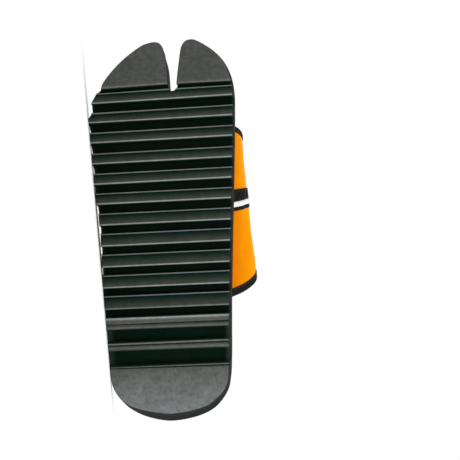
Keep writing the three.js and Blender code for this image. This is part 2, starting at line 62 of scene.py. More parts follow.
OUTLINE = [
    (2, 15, -20.5), (6, 24, -30.5), (10, 29.4, -36.5), (18, 35.3, -43), (26, 38.7, -46.5), (42, 41, -47.5),
    (66, 43, -47.5), (90, 45.5, -47.6), (115, 46.3, -48), (142, 47.8, -48.6), (170, 51.6, -49.3),
    (196, 54.4, -49.8), (216, 55.8, -50), (228, 54.2, -50), (238, 49.2, -49.8), (250, 42, -47.5),
    (260, 34, -43), (268, 25.6, -36), (274, 17.5, -28),
]
SIDE = [
    (-4, 0, 38, 38, 31.5), (25, 0, 37, 36.5, 29.5), (60, 0, 36.5, 35, 29.5), (100, 0, 36, 33, 28.5),
    (140, 0, 33, 31, 26), (180, 0, 30, 29.3, 24.3), (215, 0, 29, 29, 24), (232, 0.8, 29.6, 29.6, 24.6),
    (245, 2.4, 31.2, 31.2, 26.2), (262, 6, 34.4, 34.4, 29.4), (280, 11, 38.5, 38.5, 33.5),
]
LUGS = [
    (69, 76.5), (83.5, 93), (99, 108), (114, 123), (129, 138), (144, 152.5), (159, 167), (173.5, 181.5),
    (188, 196), (203, 211), (217.5, 225.5), (232, 240),
]
INSTEP = [
    (84, -62.4, 48.4, 61.5, 99), (95, -62.4, 50, 61.5, 98), (109, -61.8, 51.4, 61.3, 96),
    (122, -60.2, 51.8, 60.5, 93.5), (134, -58.8, 51.4, 59.2, 90.6), (147, -57.3, 50.6, 57.5, 87),
    (160, -56, 49.6, 55.6, 83.4), (172, -54.6, 48.4, 53.8, 80), (190, -52.8, 46.8, 51, 75.4),
    (220, -50.4, 44.4, 46.5, 69.5),
]
RIDGE_X, FULLNESS = -7, 2.15
MEDIAL_RISE, LATERAL_RISE = 0.22, 0.78
MAIN_EDGES = [
    (0, 85.5, 217.5), (0.1, 89, 217), (0.22, 98.5, 213.5), (0.36, 110, 207), (0.5, 116.5, 201),
    (0.62, 114, 196.5), (0.7, 108, 193.5), (0.78, 101.5, 190.5),
]
LATERAL_EDGES = [
    (0.6, 122, 173), (0.66, 113, 174.5), (0.7, 105.5, 175.5), (0.74, 100, 176.5), (0.78, 96.5, 177.5),
    (0.9, 91.5, 179), (1, 90, 180),
]
STRIPE = [(0, 160), (0.1, 162.5), (0.22, 165.2), (0.36, 165.6), (0.5, 162.6), (0.78, 153)]


# ---- helpers -----------------------------------------------------------------------------------------------
def column(table, name, key=0):
    """Smooth curve through one column of a table, without overshoot."""
    xs = np.array([r[key] for r in table], float)
    ys = np.array([r[name] for r in table], float)
    n = len(xs)
    h = np.diff(xs)
    s = np.diff(ys) / h
    m = np.zeros(n)
    m[0], m[-1] = s[0], s[-1]
    for i in range(1, n - 1):
        if s[i - 1] * s[i] > 0:
            wa, wb = 2 * h[i] + h[i - 1], h[i] + 2 * h[i - 1]
            m[i] = (wa + wb) / (wa / s[i - 1] + wb / s[i])

    def f(x):
        x = np.asarray(x, float)
        i = np.clip(np.searchsorted(xs, x, side="left") - 1, 0, n - 2)
        t = (x - xs[i]) / h[i]
        a, b = 2 * t**3 - 3 * t**2 + 1, t**3 - 2 * t**2 + t
        c, d = -2 * t**3 + 3 * t**2, t**3 - t**2
        out = a * ys[i] + b * h[i] * m[i] + c * ys[i + 1] + d * h[i] * m[i + 1]
        out = np.where(x <= xs[0], ys[0] + m[0] * (x - xs[0]), out)
        return np.where(x >= xs[-1], ys[-1] + m[-1] * (x - xs[-1]), out)

    return f


def soft(a, b, x):
    u = np.clip((np.asarray(x, float) - a) / (b - a), 0, 1)
    return u * u * (3 - 2 * u)


def mix(a, b, t):
    return a + (b - a) * t


def catmull(points, closed, step):
    """Centripetal curve through points, sampled every step mm or so."""
    p = np.array(points, float)
    n = len(p)
    out = []
    for i in range(n if closed else n - 1):
        if closed:
            q = [p[(i - 1) % n], p[i], p[(i + 1) % n], p[(i + 2) % n]]
        else:
            q = [
                p[i - 1] if i else 2 * p[0] - p[1], p[i], p[i + 1],
                p[i + 2] if i + 2 < n else 2 * p[-1] - p[-2],
            ]
        d = [max(1e-6, np.linalg.norm(q[k + 1] - q[k]) ** 0.5) for k in range(3)]
        t1 = ((q[1] - q[0]) / d[0] - (q[2] - q[0]) / (d[0] + d[1]) + (q[2] - q[1]) / d[1]) * d[1]
        t2 = ((q[2] - q[1]) / d[1] - (q[3] - q[1]) / (d[1] + d[2]) + (q[3] - q[2]) / d[2]) * d[1]
        k = max(2, int(np.linalg.norm(q[2] - q[1]) / step))
        for t in np.arange(k) / k:
            out.append(
                (2 * t**3 - 3 * t**2 + 1) * q[1] + (t**3 - 2 * t**2 + t) * t1
                + (-2 * t**3 + 3 * t**2) * q[2] + (t**3 - t**2) * t2
            )
    if not closed:
        out.append(p[-1])
    return np.array(out)


def along(points, shares):
    """Points at shares of the length of a polyline, any width of row."""
    p = np.asarray(points, float)
    s = np.concatenate([[0], np.cumsum(np.linalg.norm(np.diff(p[:, :2], axis=0), axis=1))])
    s /= s[-1]
    return np.stack([np.interp(shares, s, p[:, k]) for k in range(p.shape[1])], 1)


tread, rim_medial, rim_lateral, bed = (column(SIDE, k) for k in (1, 2, 3, 4))


# ---- outline of the sole, the toe split included: one closed curve with outward directions --------------------
def border():
    lateral = [(r[1], r[0]) for r in OUTLINE]
    medial = [(r[2], r[0]) for r in reversed(OUTLINE)]
    split = [
        (13.6, 275.5), (10.4, 276.3), (7.6, 276.3), (5.4, 275.6), (3.9, 274.2), (2.7, 271.9), (1.4, 268.4),
        (0.1, 264.2), (-0.9, 259.5), (-1.6, 254), (-2.1, 248.5), (-2.4, 244), (-2.8, 241.1), (-3.65, 239.5),
        (-4.8, 238.85), (-6.1, 238.85), (-7.25, 239.5), (-8.1, 241.1), (-8.55, 244), (-8.9, 248.5),
        (-9.3, 254), (-9.8, 259.5), (-10.2, 264.5), (-10.7, 269.4), (-11.2, 272.6), (-12.1, 275.2),
        (-13.8, 277.1), (-16.4, 278.1), (-19.6, 278.15), (-23, 276.9),
    ]
    curve = catmull([(-2.5, -1)] + lateral + split + medial, True, 0.35)
    # small waves of the lateral edge: the forefoot's lug ends and the nubs beside the heel's wide grooves
    t = np.roll(curve, -3, 0) - np.roll(curve, 3, 0)
    t /= np.linalg.norm(t, axis=1)[:, None]
    wave = np.zeros(len(curve))
    for at, by, wide in (
        (240.8, -0.9, 1.6), (236.4, 0.5, 2.2), (223.2, -1.7, 3.4), (216.2, 0.5, 2.2), (208.5, -0.8, 3.2),
        (194, -0.7, 4.5), (180, -0.6, 4.5), (166, 0.5, 5), (70.3, 0.8, 1.3), (54.8, 0.8, 1.3), (39, 0.6, 1.3),
    ):
        wave += by * np.exp(-(((curve[:, 1] - at) / wide) ** 2)) * (curve[:, 0] > 25)
    curve = curve + np.column_stack([t[:, 1], -t[:, 0]]) * wave[:, None]
    t = np.roll(curve, -3, 0) - np.roll(curve, 3, 0)
    t /= np.linalg.norm(t, axis=1)[:, None]
    # share of each point in the split, running out softly round the lobes' inner corners
    x, y = curve[:, 0], curve[:, 1]
    share = ((y > 236) & (y < 273.5) & (x > -13) & (x < 5)).astype(float)
    bell = np.exp(-((np.arange(-24, 25) / 8.0) ** 2))
    share = sum(w * np.roll(share, k) for k, w in zip(range(-24, 25), bell / bell.sum()))
    return np.column_stack([curve, t[:, 1], -t[:, 0], share])


BORDER = border()
SPLIT_FROM = 238.85 - SKEW * 5.4


def crossings(v):
    """Where a line across the sole meets its border, from the medial side, as x y nx ny share index."""
    d = BORDER[:, 1] + SKEW * BORDER[:, 0] - v
    e = np.roll(d, -1)
    hits = []
    for i in np.nonzero((d > 0) != (e > 0))[0]:
        t = d[i] / (d[i] - e[i])
        j = (i + 1) % len(BORDER)
        hits.append([*mix(BORDER[i], BORDER[j], t), i + t])
    return sorted(hits)


def arc(i0, i1, shares):
    """Points of the border between two places on it, going round with it."""
    n = len(BORDER)
    if i1 < i0:
        i1 += n
    k = np.arange(math.ceil(i0 + 1e-6), math.floor(i1 - 1e-6) + 1)
    steps = np.concatenate([[i0], k, [i1]])
    lo = np.floor(steps).astype(int)
    t = (steps - lo)[:, None]
    pts = BORDER[lo % n] * (1 - t) + BORDER[(lo + 1) % n] * t
    return along(pts, shares)


# Profile of the tread from heel to toe: distance, height over the ground line, shade, region. The shade is painted
# light and shade: painted highlights on the crests and lips, near-black painted shade in the grooves and creases, lug
# faces painted darker towards the lip.
PAD, LUG, SIDEWALL = 0, 1, 2


def profile():
    out = [(39.6, 0.0, 0.072, PAD)]

    def add(*rows):
        for v, h, shade in rows:
            out.append((v, h, shade, LUG))

    # the pad's edge and two wide grooves, each climbing to a land with a creased lip
    add((40.2, 0.02, 0.055), (40.5, 0.45, 0.02), (40.8, 0.95, 0.006), (41.15, 0.6, 0.02), (41.5, 0.32, 0.1))
    add((42.0, 0.38, 0.1), (42.25, 1.1, 0.02), (42.5, 3.4, 0.004), (42.9, 6.0, 0.0018), (43.6, 6.95, 0.0018))
    add((47, 7, 0.0026), (50.4, 6.9, 0.0024), (51.6, 6.2, 0.0045), (52.5, 4.6, 0.012), (53.2, 2.5, 0.032))
    add((53.9, 0.8, 0.06), (54.5, 0.15, 0.085), (55.2, 0.02, 0.085), (56.6, 0.02, 0.045), (57.3, 0.35, 0.02))
    add((57.7, 0.9, 0.005), (58.05, 0.55, 0.04), (58.35, 0.3, 0.13), (59.0, 0.36, 0.13), (59.25, 1.1, 0.02))
    add((59.5, 3.4, 0.004), (59.9, 6.0, 0.0018), (60.6, 6.95, 0.0018), (63, 7, 0.0026), (65.9, 6.9, 0.0024))
    add((67.1, 6.2, 0.0045), (67.9, 4.6, 0.012), (68.5, 2.5, 0.035), (69.1, 0.8, 0.08), (69.8, 0.15, 0.1))
    add((70.6, 0.0, 0.055), (71.6, 0.1, 0.035), (72.0, 0.35, 0.015), (72.35, 0.8, 0.005), (72.75, 0.5, 0.035))
    add((73.2, 0.32, 0.075), (74.9, 0.3, 0.07), (75.7, 0.12, 0.13), (76.3, 0.1, 0.24), (76.95, 0.12, 0.24))
    add((77.25, 0.7, 0.04), (77.45, 2.8, 0.005), (77.8, 6.3, 0.0012), (78.3, 6.95, 0.0012), (80, 7, 0.0014))
    for i, (c, s) in enumerate(LUGS):
        if i == 0:
            continue
        long = s - c
        # each lug: painted shade in the groove, a painted highlight on the crest, the face painted darker towards the
        # lip's shaded crease, a painted highlight on the lip
        add((c - 1.5, 7, 0.0016), (c - 0.95, 6.7, 0.0014), (c - 0.7, 5.2, 0.002), (c - 0.5, 2.6, 0.004))
        top = 0.15 if i == 1 else 0.25
        add((c - 0.28, 0.75, 0.01), (c - 0.05, 0.22, 0.5 * top), (c + 0.3, 0.0, top), (c + 0.75, 0.02, 0.85 * top))
        add((c + 1.1, 0.2, 0.055), (c + 1.45, 0.38, 0.037), (c + 2.3, 0.48, 0.035))
        for k in (0.38, 0.5, 0.62, 0.73):
            add((c + k * long, 0.5 + 1.5 * ((k - 0.25) / 0.5) ** 1.4, mix(0.026, 0.006, (k - 0.38) / 0.35)))
        add((s - 1.55, 2.35, 0.005), (s - 1.25, 2.65, 0.003), (s - 0.98, 2.3, 0.012), (s - 0.78, 1.95, 0.10))
        add((s - 0.45, 1.85, 0.15), (s - 0.1, 1.95, 0.13), (s + 0.08, 2.4, 0.02), (s + 0.3, 4.6, 0.003))
        if i + 1 < len(LUGS):
            add((s + 0.6, 6.3, 0.0014), (s + 1.1, 6.95, 0.0014), ((s + LUGS[i + 1][0]) / 2, 7, 0.0016))
    add((240.5, 3.9, 0.002), (240.95, 4.1, 0.0015), (241.9, 4.1, 0.0015), (242.3, 3.0, 0.003))
    add((242.6, 1.1, 0.012), (242.9, 0.2, 0.11), (243.4, 0.0, 0.12), (243.9, 0.03, 0.07))
    out.append((246.0, 0.0, 0.056, PAD))
    return sorted(out)


NA, NG, NB = 24, 2, 30
NC = NA + NG + NB
_near = np.array([0, 0.012, 0.026, 0.045, 0.07])
SHARE_A = np.concatenate([_near, np.linspace(0.1, 1, NA + 1 - len(_near))])
SHARE_B = 1 - np.concatenate([_near * 0.8, np.linspace(0.08, 1, NB + 1 - len(_near))])[::-1]


def plan(rows, heel_rows, toe_rows):
    """Topology of the sole seen from below. Gives per vertex what is needed to place it for any inset."""
    made = {"rows": [], "faces": [], "regions": [], "border": []}
    base = 0

    def push(kind, data, cut, shade, n):
        nonlocal base
        made["rows"].append((kind, data, cut, shade, base, n))
        base += n
        return base - n

    mid = []
    for v, cut, shade, region in rows:
        hits = crossings(v)
        start = push("line", (v, hits), cut, shade, NC + 1)
        mid.append((start, region, len(hits) == 4, hits))
    # faces between straight rows, left open along the split
    for (s0, _, split0, _), (s1, region, _, _) in zip(mid, mid[1:]):
        for c in range(NC):
            if split0 and NA <= c < NA + NG:
                continue
            made["faces"].append((s0 + c, s0 + c + 1, s1 + c + 1, s1 + c))
            made["regions"].append(region)
    first, last = mid[0], mid[-1]
    # heel: from the first row down to the heel arc
    n = len(BORDER)
    lat0, med0 = first[3][-1][-1], first[3][0][-1]
    i_l = next(i for i in range(n) if BORDER[i, 1] > 6.5 and BORDER[i, 0] > 0)
    i_m = n - next(i for i in range(n) if BORDER[n - 1 - i, 1] > 6.5 and BORDER[n - 1 - i, 0] < 0) - 1
    shares = np.linspace(0, 1, heel_rows + 1)
    med_side = arc(med0, i_m, shares)
    lat_side = arc(i_l, lat0, shares)[::-1]
    heel = []
    for k in range(1, heel_rows + 1):
        heel.append(push("heel", (k / heel_rows, med_side[k], lat_side[k], k), 0, 0, NC + 1))
    made["heel"] = (first[3], med_side, lat_side, (i_m, i_l + n))
    prev = first[0]
    for s in heel:
        for c in range(NC):
            made["faces"].append((s + c, s + c + 1, prev + c + 1, prev + c))
            made["regions"].append(PAD)
        prev = s
    # toe lobes
    hits = last[3]
    i_ql = next(i for i in range(n) if BORDER[i, 1] > 268 and BORDER[i, 0] > 0)
    i_qm = n - next(i for i in range(n) if BORDER[n - 1 - i, 1] > 268 and BORDER[n - 1 - i, 0] < -20) - 1
    i_sl = int(np.argmin(np.hypot(BORDER[:, 0] - 4.8, BORDER[:, 1] - 275.5)))
    i_sm = int(np.argmin(np.hypot(BORDER[:, 0] + 13.2, BORDER[:, 1] - 276)))
    shares = np.linspace(0, 1, toe_rows + 1)
    lobes = {
        "medial": dict(cols=(0, NA), left=arc(i_qm, hits[0][-1], shares)[::-1], right=arc(hits[1][-1], i_sm, shares), top=(i_sm, i_qm)),
        "lateral": dict(cols=(NA + NG, NC), left=arc(i_sl, hits[2][-1], shares)[::-1], right=arc(hits[3][-1], i_ql, shares), top=(i_ql, i_sl)),
    }
    made["lobes"] = {}
    ends = {}
    for name, lobe in lobes.items():
        c0, c1 = lobe["cols"]
        starts = []
        for k in range(1, toe_rows + 1):
            starts.append(push(name, (k / toe_rows, lobe, k), 0, 0, c1 - c0 + 1))
        prev, off = last[0] + c0, 0
        for s in starts:
            for c in range(c1 - c0):
                made["faces"].append((prev + c, prev + c + 1, s + c + 1, s + c))
                made["regions"].append(PAD)
            prev = s
        ends[name] = starts
    # border, going round: heel arc, lateral side, lateral lobe, split, medial lobe, medial side
    b = made["border"]
    b += [heel[-1] + c for c in range(NC + 1)]
    b += [s + NC for s in reversed(heel[:-1])]
    b += [m[0] + NC for m in mid]
    w = NC - (NA + NG)
    b += [s + w for s in ends["lateral"]]
    b += [ends["lateral"][-1] + c for c in range(w - 1, -1, -1)]
    b += [s for s in reversed(ends["lateral"][:-1])]
    split_rows = [m for m in mid if m[2]]
    b += [m[0] + NA + NG for m in reversed(split_rows)]
    b += [split_rows[0][0] + c for c in range(NA + NG - 1, NA, -1)]
    b += [m[0] + NA for m in split_rows]
    b += [s + NA for s in ends["medial"]]
    b += [ends["medial"][-1] + c for c in range(NA - 1, -1, -1)]
    b += [s for s in reversed(ends["medial"][:-1])]
    b += [m[0] for m in reversed(mid)]
    b += [s for s in heel[:-1]]
    made["count"] = base
    return made


def place(made, inset):
    """Plan positions for an inset given as a function of (x, y, cut, share in split), and each border vertex's edge."""
    xy = np.zeros((made["count"], 2))
    cut = np.zeros(made["count"])
    shade = np.zeros(made["count"])
    edge = {}

    def pull(e, h):
        by = inset(e[0], e[1], h, e[4])
        return np.array([e[0] - by * e[2], e[1] - by * e[3]])

    for kind, data, h, sh, start, n in made["rows"]:
        if kind == "line":
            v, hits = data
            m, l = pull(hits[0], h), pull(hits[-1], h)
            edge[start], edge[start + NC] = hits[0], hits[-1]
            if len(hits) == 4:
                a, b = pull(hits[1], h), pull(hits[2], h)
                edge[start + NA], edge[start + NA + NG] = hits[1], hits[2]
            else:
                grow = soft(SPLIT_FROM - 30, SPLIT_FROM, v)
                ax, bx = mix(-5.9, -6.0, grow), mix(-4.9, -4.8, grow)
                a = mix(m, l, (ax - m[0]) / (l[0] - m[0]))
                b = mix(m, l, (bx - m[0]) / (l[0] - m[0]))
            for c in range(NA + 1):
                xy[start + c] = mix(m, a, SHARE_A[c])
            for c in range(1, NG):
                xy[start + NA + c] = mix(a, b, c / NG)
            for c in range(NB + 1):
                xy[start + NA + NG + c] = mix(b, l, SHARE_B[c])
            cut[start:start + n], shade[start:start + n] = h, sh
            if h > 0.02:
                # grooves close up a little at their ends, the wide ones more, and their painted shade lightens there; a
                # thin painted highlight runs along the tread's edge
                inward_ = np.minimum(xy[start:start + n, 0] - m[0], l[0] - xy[start:start + n, 0])
                wide = 42 < v < 54 or 58 < v < 69
                end = 1 - (soft(1.6, 4.4, inward_) if wide else soft(0.5, 2.2, inward_))
                deep = np.clip((h - 2.6) / 4.4, 0, 1)
                shade[start:start + n] += (0.016 if wide else 0.008) * end * deep
                cut[start:start + n] -= (2.6 if wide else 1.1) * end * deep
                shade[start:start + n] = np.maximum(shade[start:start + n], 0.018 * (1 - soft(0.3, 0.8, inward_)))
    hits, med_side, lat_side, (i_m, i_l) = made["heel"]
    first = made["rows"][0]
    top = xy[first[4]:first[4] + NC + 1]
    t = (top[:, 0] - top[0, 0]) / (top[-1, 0] - top[0, 0])
    bottom_edges = arc(i_m, i_l, t)
    bottom = np.array([pull(e, 0) for e in bottom_edges])
    for kind, data, h, sh, start, n in made["rows"]:
        if kind != "heel":
            continue
        w, me, le, k = data
        m, l = pull(me, 0), pull(le, 0)
        line = (1 - w) * top + w * bottom + np.outer(1 - t, m) + np.outer(t, l)
        line -= np.outer((1 - t) * (1 - w), top[0]) + np.outer(t * (1 - w), top[-1])
        line -= np.outer((1 - t) * w, bottom[0]) + np.outer(t * w, bottom[-1])
        xy[start:start + n] = line
        edge[start], edge[start + NC] = me, le
        if w == 1:
            for c in range(NC + 1):
                edge[start + c] = bottom_edges[c]
    last = [r for r in made["rows"] if r[0] == "line"][-1]
    for name in ("medial", "lateral"):
        rows = [r for r in made["rows"] if r[0] == name]
        lobe = rows[0][1][1]
        c0, c1 = lobe["cols"]
        base = xy[last[4] + c0:last[4] + c1 + 1]
        t = (base[:, 0] - base[0, 0]) / (base[-1, 0] - base[0, 0])
        i0, i1 = lobe["top"]
        top_edges = arc(i0, i1, t)[::-1]
        tops = np.array([pull(e, 0) for e in top_edges])
        for _, data, h, sh, start, n in rows:
            w, _, k = data
            le, re = lobe["left"][k], lobe["right"][k]
            l, r = pull(le, 0), pull(re, 0)
            line = (1 - w) * base + w * tops + np.outer(1 - t, l) + np.outer(t, r)
            line -= np.outer((1 - t) * (1 - w), base[0]) + np.outer(t * (1 - w), base[-1])
            line -= np.outer((1 - t) * w, tops[0]) + np.outer(t * w, tops[-1])
            xy[start:start + n] = line
            edge[start], edge[start + n - 1] = le, re
            if k == len(rows):
                for c in range(n):
                    edge[start + c] = top_edges[c]
    # the bottom of the split has edges along its own row
    first_split = next(r for r in made["rows"] if r[0] == "line" and len(r[1][1]) == 4)
    s = first_split[4]
    for c in range(NA + 1, NA + NG):
        u = (c - NA) / NG
        e = arc(first_split[1][1][2][-1], first_split[1][1][1][-1], [1 - u])[0]
        edge[s + c] = e
        xy[s + c] = pull(e, first_split[2])
    return xy, cut, shade, edge


# ---- materials -----------------------------------------------------------------------------------------------
def material(name, **sockets):
    m = bpy.data.materials.new(name)
    m.use_nodes = True
    nodes = m.node_tree.nodes
    shader = nodes["Principled BSDF"]
    for key, value in sockets.items():
        shader.inputs[key.replace("_", " ")].default_value = value
    return m, nodes, m.node_tree.links, shader


def ramp(nodes, links, source, stops, kind="LINEAR"):
    r = nodes.new("ShaderNodeValToRGB")
    r.color_ramp.interpolation = kind
    els = r.color_ramp.elements
    while len(els) < len(stops):
        els.new(0.5)
    for el, (pos, col) in zip(els, stops):
        el.position = pos
        el.color = (*col, 1) if len(col) == 3 else col
    links.new(source, r.inputs[0])
    return r.outputs[0]


def noise(nodes, links, where, scale, detail=3, rough=0.55):
    n = nodes.new("ShaderNodeTexNoise")
    n.inputs["Scale"].default_value = scale
    n.inputs["Detail"].default_value = detail
    n.inputs["Roughness"].default_value = rough
    links.new(where, n.inputs["Vector"])
    return n.outputs["Fac"]


def cells(nodes, links, where, scale, smooth=0.4):
    n = nodes.new("ShaderNodeTexVoronoi")
    n.feature = "SMOOTH_F1"
    n.inputs["Scale"].default_value = scale
    n.inputs["Smoothness"].default_value = smooth
    links.new(where, n.inputs["Vector"])
    return n.outputs["Distance"]


def bump(nodes, links, height, strength, distance, below=None):
    b = nodes.new("ShaderNodeBump")
    b.inputs["Strength"].default_value = strength
    b.inputs["Distance"].default_value = distance
    links.new(height, b.inputs["Height"])
    if below is not None:
        links.new(below, b.inputs["Normal"])
    return b.outputs["Normal"]


def multiply(nodes, links, a, b):
    x = nodes.new("ShaderNodeMix")
    x.data_type = "RGBA"
    x.blend_type = "MULTIPLY"
    x.inputs["Factor"].default_value = 1
    links.new(a, x.inputs[6])
    links.new(b, x.inputs[7])
    return x.outputs[2]


def coords(nodes):
    return nodes.new("ShaderNodeTexCoord").outputs["Object"]


def attribute(nodes, name):
    a = nodes.new("ShaderNodeAttribute")
    a.attribute_name = name
    return a.outputs["Fac"]


def grey(x, warm=0.0):
    return (x * (1 + warm), x, x * (1 - warm))


def rubber(name, rough, pebble, size, mottle, gloss, tint=1.0, lift=0.0):
    """Moulded rubber whose shade is painted per vertex: painted light and shade, from the near-black painted shade of
    the groove floors to the painted highlights on the crests.
    """
    m, nodes, links, shader = material(name, Roughness=rough, Specular_IOR_Level=gloss)
    where = coords(nodes)
    stops = []
    for at in (0, 0.03, 0.06, 0.075, 0.095, 0.115, 0.14, 0.17, 0.21, 0.25, 0.3, 0.36, 0.42, 0.5, 0.6, 0.7, 0.85, 1):
        level = 0.3 * at * at
        teal = tint * min(1.0, max(0.0, 1 - (level - 0.003) / 0.012))
        blue = min(1.0, max(0.0, (level - 0.0015) / 0.0009)) * teal
        green = tint * 0.12 * min(1.0, max(0.0, (0.06 - level) / 0.03)) * (1 - 0.6 * teal)
        warm = 0.03 * min(1.0, max(0.0, (level - 0.05) / 0.02)) * (1 - min(1.0, max(0.0, (level - 0.09) / 0.05)))
        cool = 0.03 * min(1.0, max(0.0, (level - 0.1) / 0.05))
        pale = 0.055 * min(1.0, max(0.0, (level - 0.06) / 0.02))
        stops.append((at, (
            level * (1 - 0.9 * teal + warm - cool - green - pale) + 0.0001 + 0.45 * lift,
            level * (1 + 1.1 * teal + green) + 0.0005 + lift,
            level * (1 - 0.1 * teal + 0.9 * blue - 2.6 * warm - 1.1 * green * (1 - blue)) + 0.0002 + 0.45 * lift)))
    shade = ramp(nodes, links, attribute(nodes, "shade"), stops)
    spots = ramp(nodes, links, noise(nodes, links, where, 260, 5, 0.7), [
        (0.3, grey(1 - mottle)), (0.52, grey(1.0)), (0.72, grey(1 + mottle * 0.9)),
    ])
    cloud = ramp(nodes, links, noise(nodes, links, where, 45, 3), [(0.3, grey(0.9)), (0.7, grey(1.08))])
    links.new(multiply(nodes, links, multiply(nodes, links, shade, spots), cloud), shader.inputs["Base Color"])
    fine = bump(nodes, links, noise(nodes, links, where, 2400, 3), 0.25, 0.0001)
    grain = bump(nodes, links, cells(nodes, links, where, size), pebble, 0.0004, fine)
    links.new(grain, shader.inputs["Normal"])
    return m


def leather():
    m, nodes, links, shader = material("strap_leather", Roughness=0.5, Specular_IOR_Level=0.01)
    where = coords(nodes)
    tint = ramp(nodes, links, noise(nodes, links, where, 38, 4), [
        (0.25, (0.77, 0.27, 0.0002)), (0.5, (0.82, 0.3, 0.0002)), (0.75, (0.87, 0.33, 0.0003)),
    ])
    pores = ramp(nodes, links, cells(nodes, links, where, 1150, 0.25), [(0.0, grey(0.9)), (0.35, grey(1.0))])
    # painted shade: darker and redder where the strap goes down to the sole, which shades it
    sole_painted_shade = ramp(nodes, links, attribute(nodes, "shade"), [(0.0, (0.72, 0.52, 0.8)), (0.5, (0.89, 0.77, 0.9)), (1.0, (1.0, 1.0, 1.0))])
    links.new(multiply(nodes, links, multiply(nodes, links, tint, sole_painted_shade), pores), shader.inputs["Base Color"])
    roughness = ramp(nodes, links, noise(nodes, links, where, 300, 4), [(0.3, grey(0.42)), (0.7, grey(0.58))])
    links.new(roughness, shader.inputs["Roughness"])
    fine = bump(nodes, links, noise(nodes, links, where, 3200, 3), 0.15, 0.00008)
    grain = bump(nodes, links, cells(nodes, links, where, 950, 0.3), 0.35, 0.00018, fine)
    links.new(grain, shader.inputs["Normal"])
    return m


def cloth(name, dark, light, scale, strength=0.6, rough=0.9, sheen=0.03):
    """Woven tape: two crossed sets of threads, in the shoe's own directions, carried by the thread attributes."""
    m, nodes, links, shader = material(name, Roughness=rough, Specular_IOR_Level=0.05, Sheen_Weight=sheen, Sheen_Roughness=0.5)
    where = coords(nodes)
    pair = []
    for attr in ("warp", "weft"):
        w = nodes.new("ShaderNodeMath")
        w.operation = "MULTIPLY"
        w.inputs[1].default_value = scale
        links.new(attribute(nodes, attr), w.inputs[0])
        s = nodes.new("ShaderNodeMath")
        s.operation = "SINE"
        links.new(w.outputs[0], s.inputs[0])
        pair.append(s.outputs[0])
    cross = nodes.new("ShaderNodeMath")
    cross.operation = "MULTIPLY"
    links.new(pair[0], cross.inputs[0])
    links.new(pair[1], cross.inputs[1])
    weave = nodes.new("ShaderNodeMapRange")
    weave.inputs["From Min"].default_value = -1
    weave.inputs["From Max"].default_value = 1
    links.new(cross.outputs[0], weave.inputs["Value"])
    tint = ramp(nodes, links, weave.outputs[0], [(0.1, dark), (0.9, light)])
    fuzz = ramp(nodes, links, noise(nodes, links, where, 900, 4), [(0.3, grey(0.82)), (0.7, grey(1.12))])
    links.new(multiply(nodes, links, tint, fuzz), shader.inputs["Base Color"])
    fine = bump(nodes, links, noise(nodes, links, where, 4000, 2), 0.3, 0.0001)
    links.new(bump(nodes, links, weave.outputs[0], strength, 0.0002, fine), shader.inputs["Normal"])
    return m


def felt(name, dark, light, scale, rough=0.95, strength=0.7, sheen=0.2):
    m, nodes, links, shader = material(name, Roughness=rough, Specular_IOR_Level=0.15, Sheen_Weight=sheen, Sheen_Roughness=0.6)
    where = coords(nodes)
    tint = ramp(nodes, links, noise(nodes, links, where, scale, 5, 0.7), [(0.3, dark), (0.7, light)])
    links.new(tint, shader.inputs["Base Color"])
    fine = bump(nodes, links, noise(nodes, links, where, scale * 3, 3), 0.4, 0.0002)
    links.new(bump(nodes, links, cells(nodes, links, where, scale * 1.6, 0.5), strength, 0.0003, fine), shader.inputs["Normal"])
    return m


MAT = {
    "pad": rubber("sole_pad", 0.62, 0.7, 620, 0.34, 0.1),
    "lug": rubber("sole_lug", 0.55, 0.12, 900, 0.2, 0.025, 1.0, 0.004),
    "side": rubber("sole_side", 0.6, 0.3, 700, 0.14, 0.03, 0.15),
    "leather": leather(),
    "lining": felt("strap_lining", (0.022, 0.007, 0.004), (0.06, 0.02, 0.012), 420),
    "binding": cloth("binding_cloth", (0.002, 0.0022, 0.0024), (0.011, 0.0115, 0.012), 5200),
    "tape": cloth("stripe_tape", (0.0015, 0.0018, 0.002), (0.009, 0.0095, 0.01), 4200, 0.8),
    "piping": cloth("piping_cloth", (0.55, 0.55, 0.54), (0.86, 0.86, 0.84), 5200, 0.7, 0.8, 0.1),
    "insole": felt("insole_cloth", (0.006, 0.006, 0.007), (0.026, 0.026, 0.028), 900),
    "foam": felt("insole_foam", (0.008, 0.008, 0.009), (0.03, 0.03, 0.031), 600, strength=0.4),
    "thread": felt("thread", (0.01, 0.01, 0.011), (0.045, 0.045, 0.046), 2500, 0.7, 0.5, 0.1),
    "hook": felt("hook_patch", (0.01, 0.01, 0.01), (0.07, 0.068, 0.062), 1300, 0.8, 1.0),
    "loop": felt("loop_patch", (0.16, 0.145, 0.125), (0.36, 0.335, 0.295), 800, 0.95, 0.9),
}


def make(name, points, faces, mats, which=None, angle=35, attrs=None, replaces=(), outward=True):
    """A mesh from points in the shoe's axes."""
    mesh = bpy.data.meshes.new(name)
    mesh.from_pydata([tuple(p) for p in row(points)], [], [tuple(int(i) for i in f) for f in faces])
    for m in mats:
        mesh.materials.append(MAT[m])
    if which is not None:
        mesh.polygons.foreach_set("material_index", np.array(which, np.int32))
    for key, values in (attrs or {}).items():
        a = mesh.attributes.new(key, "FLOAT", "POINT")
        a.data.foreach_set("value", np.asarray(values, np.float32))
    if outward:
        b = bmesh.new()
        b.from_mesh(mesh)
        bmesh.ops.recalc_face_normals(b, faces=b.faces)
        b.to_mesh(mesh)
        b.free()
    mesh.shade_smooth()
    mesh.set_sharp_from_angle(angle=math.radians(angle))
    obj = bpy.data.objects.new(name, mesh)
    bpy.context.scene.collection.objects.link(obj)
    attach(obj, "root")
    if replaces:
        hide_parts(*replaces)
    return obj


